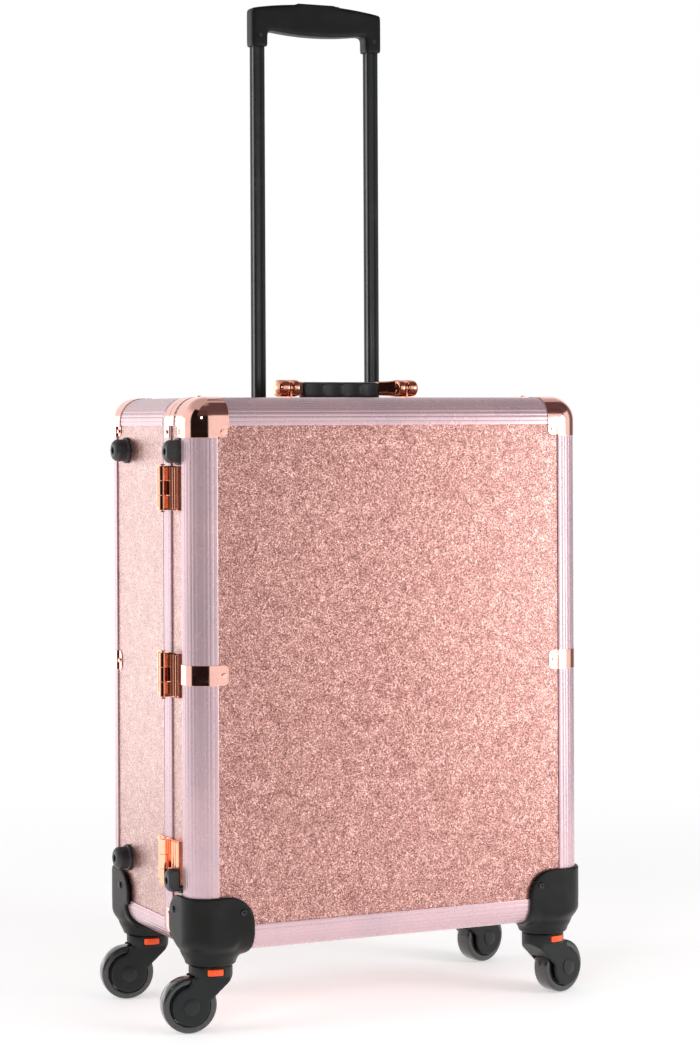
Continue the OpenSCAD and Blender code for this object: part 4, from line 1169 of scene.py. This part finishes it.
def add_both_sides(made, profile, centre, axle, steps):
    """Adds a turned ring and its mirror image on the wheel's other side."""
    for sign in (1, -1):
        lathe(made, [(r, sign * along) for r, along in profile], centre, axle, steps)


def add_ribs(made, centre, axle):
    """Adds the thin ribs that stiffen both faces of a wheel's hub."""
    section = [(r, HUB_W / 2 + rise) for r, rise in RIB]
    for out in spokes(axle, HUB_RIBS):
        across = axle.cross(out)
        for sign in (1, -1):
            add_prism(made, section, -RIB_HALF, RIB_HALF,
                      lambda u, v, t: (centre / MM + out * u + axle * sign * v + across * t))


def make_casters():
    """The four casters."""
    for corner in ("front_left", "front_right", "rear_left", "rear_right"):
        make_caster(corner)


# Stage

def make_stage():
    """Camera, floor, light and world."""
    bpy.context.scene.view_settings.view_transform = "Standard"
    make_camera()
    made = bmesh.new()
    bmesh.ops.create_circle(made, cap_ends=True, segments=FLOOR_STEPS, radius=FLOOR_R)
    floor = placed("floor", finish_mesh("floor", made))
    floor.data.materials.append(pale_floor())
    make_world()
    for settings in LAMPS:
        lamp(*settings)


def make_camera():
    """The camera, from where the case was photographed."""
    camera = placed("camera", bpy.data.cameras.new("camera"))
    camera.data.lens = LENS
    camera.data.shift_y = SHIFT
    camera.data.clip_end = 50
    camera.matrix_world = (Matrix.Translation(CAMERA_AT)
                           @ Matrix.Rotation(CAMERA_HEADING, 4, "Z")
                           @ Matrix.Rotation(math.radians(90), 4, "X")
                           @ Matrix.Rotation(CAMERA_ROLL, 4, "Z"))
    bpy.context.scene.camera = camera


def pale_floor():
    """White floor that takes a soft shadow and fades into the white background.

    It glows for the camera and for what mirrors it, and lights nothing else.
    """
    g = Graph("pale_floor")
    cloud = g.noise(0.8, 2.0, 0.5)
    seen = g.node("ShaderNodeLightPath", out="Is Camera Ray")
    away = g.node("ShaderNodeVectorMath", {"operation": "LENGTH"}, {0: g.place()}, out="Value")
    bare = g.between(away, 0.35, 0.95 * FLOOR_R)
    shader = g.node("ShaderNodeBsdfPrincipled", None, {
        "Base Color": g.blend(cloud, (0.90, 0.90, 0.90), (0.93, 0.93, 0.93)), "Roughness": 0.7,
        "Specular IOR Level": 0.1})
    mirrored = g.node("ShaderNodeLightPath", out="Is Glossy Ray")
    glow = g.node("ShaderNodeEmission", None, {
        "Color": g.blend(seen, (1, 0.95, 0.94), (1, 1, 1)),
        "Strength": seen * 0.42 + mirrored * 0.95})
    lit = g.node("ShaderNodeAddShader", None, {0: shader, 1: glow})
    white = g.node("ShaderNodeEmission", None, {"Color": (1, 1, 1), "Strength": 1.0})
    mixed = g.node("ShaderNodeMixShader", None, {0: bare * seen, 1: lit, 2: white})
    g.node("ShaderNodeOutputMaterial", None, {"Surface": mixed})
    return g.material


def make_world():
    """A white world for the background, with soft cards that metal reflects."""
    world = bpy.data.worlds.new("studio")
    bpy.context.scene.world = world
    g = Graph("studio", world)
    direction = g.node("ShaderNodeTexCoord", out="Generated")
    x, y, z = (g.node("ShaderNodeSeparateXYZ", None, {0: direction}, out=axis)
               for axis in "XYZ")
    around = g.node("ShaderNodeMath", {"operation": "ARCTAN2"}, {0: y, 1: x})
    room = g.blend(g.between(z, 0.45, 0.8), (1.0, 0.985, 0.98), (0.55, 0.52, 0.52))
    for heading, half, soft, lowest, highest, full, tone in CARDS:
        facing = g.node("ShaderNodeMath", {"operation": "COSINE"},
                        {0: around - math.radians(heading)})
        aside = g.node("ShaderNodeMath", {"operation": "ARCCOSINE"}, {0: facing})
        inside = (g.between(aside, math.radians(half + soft), math.radians(half))
                  * g.between(z, lowest - 0.1, lowest)
                  * g.between(z, highest + 0.08, highest))
        room = g.blend(inside * full, room, tone)
    seen = g.node("ShaderNodeLightPath", out="Is Camera Ray")
    glossy = g.node("ShaderNodeLightPath", out="Is Glossy Ray")
    soft = g.blend(g.between(z, 0.1, 0.8), (0.62, 0.62, 0.62), (0.28, 0.27, 0.27))
    colour = g.blend(seen, g.blend(glossy, soft, room), (1, 1, 1))
    back = g.node("ShaderNodeBackground", None, {"Color": colour, "Strength": 1.0})
    g.node("ShaderNodeOutputWorld", None, {"Surface": back})


def lamp(name, at, aim, size, power, mirrored):
    """A soft oval lamp aimed at a point, seen in reflections only where mirrored."""
    light = bpy.data.lights.new(name, "AREA")
    light.shape = "ELLIPSE"
    light.size, light.size_y = size
    light.energy = power
    holder = placed(name, light)
    holder.location = at
    holder.rotation_euler = (Vector(aim) - Vector(at)).to_track_quat("-Z", "Y").to_euler()
    holder.visible_glossy = mirrored


# Operators, panel and registering

class MAKEUP_CASE_OT_stage(bpy.types.Operator):
    """Sets up the camera, the floor and the light."""

    bl_idname = "makeup_case.stage"
    bl_label = "Stage"

    def execute(self, context):
        make_stage()
        return {"FINISHED"}


class MAKEUP_CASE_OT_frame(bpy.types.Operator):
    """Builds the fluted aluminium frame of the case and the lid."""

    bl_idname = "makeup_case.frame"
    bl_label = "Frame"

    def execute(self, context):
        make_frame()
        return {"FINISHED"}


class MAKEUP_CASE_OT_panels(bpy.types.Operator):
    """Covers the panels in crinkled film."""

    bl_idname = "makeup_case.panels"
    bl_label = "Panels"

    def execute(self, context):
        make_panels()
        return {"FINISHED"}


class MAKEUP_CASE_OT_lining(bpy.types.Operator):
    """Builds the cloth-covered lining boards."""

    bl_idname = "makeup_case.lining"
    bl_label = "Lining"

    def execute(self, context):
        make_lining()
        return {"FINISHED"}


class MAKEUP_CASE_OT_caps(bpy.types.Operator):
    """Builds the plated corner caps, seam caps and straps."""

    bl_idname = "makeup_case.caps"
    bl_label = "Caps and straps"

    def execute(self, context):
        make_caps()
        return {"FINISHED"}


class MAKEUP_CASE_OT_hinges(bpy.types.Operator):
    """Builds the plated hinges."""

    bl_idname = "makeup_case.hinges"
    bl_label = "Hinges"

    def execute(self, context):
        make_hinges()
        return {"FINISHED"}


class MAKEUP_CASE_OT_latches(bpy.types.Operator):
    """Builds the plated latches."""

    bl_idname = "makeup_case.latches"
    bl_label = "Latches"

    def execute(self, context):
        make_latches()
        return {"FINISHED"}


class MAKEUP_CASE_OT_bumpers(bpy.types.Operator):
    """Builds the rubber bumpers on the left side."""

    bl_idname = "makeup_case.bumpers"
    bl_label = "Bumpers"

    def execute(self, context):
        make_bumpers()
        return {"FINISHED"}


class MAKEUP_CASE_OT_feet(bpy.types.Operator):
    """Builds the moulded corner feet."""

    bl_idname = "makeup_case.feet"
    bl_label = "Corner feet"

    def execute(self, context):
        make_feet()
        return {"FINISHED"}


class MAKEUP_CASE_OT_tubes(bpy.types.Operator):
    """Builds the trolley's tubes."""

    bl_idname = "makeup_case.tubes"
    bl_label = "Trolley tubes"

    def execute(self, context):
        make_tubes()
        return {"FINISHED"}


class MAKEUP_CASE_OT_grip(bpy.types.Operator):
    """Builds the trolley's grip and button."""

    bl_idname = "makeup_case.grip"
    bl_label = "Trolley grip"

    def execute(self, context):
        make_grip()
        return {"FINISHED"}


class MAKEUP_CASE_OT_carry_handle(bpy.types.Operator):
    """Builds the folding carry handle."""

    bl_idname = "makeup_case.carry_handle"
    bl_label = "Carry handle"

    def execute(self, context):
        make_carry_handle()
        return {"FINISHED"}


class MAKEUP_CASE_OT_casters(bpy.types.Operator):
    """Builds the four casters with their release buttons."""

    bl_idname = "makeup_case.casters"
    bl_label = "Casters"

    def execute(self, context):
        make_casters()
        return {"FINISHED"}


OPERATORS = (
    MAKEUP_CASE_OT_stage, MAKEUP_CASE_OT_frame, MAKEUP_CASE_OT_panels,
    MAKEUP_CASE_OT_lining, MAKEUP_CASE_OT_caps, MAKEUP_CASE_OT_hinges,
    MAKEUP_CASE_OT_latches, MAKEUP_CASE_OT_bumpers, MAKEUP_CASE_OT_feet,
    MAKEUP_CASE_OT_tubes, MAKEUP_CASE_OT_grip, MAKEUP_CASE_OT_carry_handle,
    MAKEUP_CASE_OT_casters)


class MAKEUP_CASE_PT_build(bpy.types.Panel):
    """Lists the case's pieces and their settings in the sidebar."""

    bl_idname = "MAKEUP_CASE_PT_build"
    bl_label = "Makeup case"
    bl_space_type = "VIEW_3D"
    bl_region_type = "UI"
    bl_category = "Makeup case"

    def draw(self, context):
        for operator in OPERATORS:
            self.layout.operator(operator.bl_idname)
        for group in (context.scene.case_sizes, context.scene.case_colours):
            for key in group.__annotations__:
                self.layout.prop(group, key)


CLASSES = (CaseColours, CaseSizes, *OPERATORS, MAKEUP_CASE_PT_build)


def register():
    """Registers the settings, the operators and the panel."""
    for entry in CLASSES:
        bpy.utils.register_class(entry)
    bpy.types.Scene.case_colours = bpy.props.PointerProperty(type=CaseColours)
    bpy.types.Scene.case_sizes = bpy.props.PointerProperty(type=CaseSizes)


def unregister():
    """Removes what register added."""
    del bpy.types.Scene.case_sizes
    del bpy.types.Scene.case_colours
    for entry in reversed(CLASSES):
        bpy.utils.unregister_class(entry)


def main():
    """Registers the add-on and makes every piece."""
    register()
    for operator in OPERATORS:
        group, name = operator.bl_idname.split(".")
        getattr(getattr(bpy.ops, group), name)()


if __name__ == "__main__":
    main()
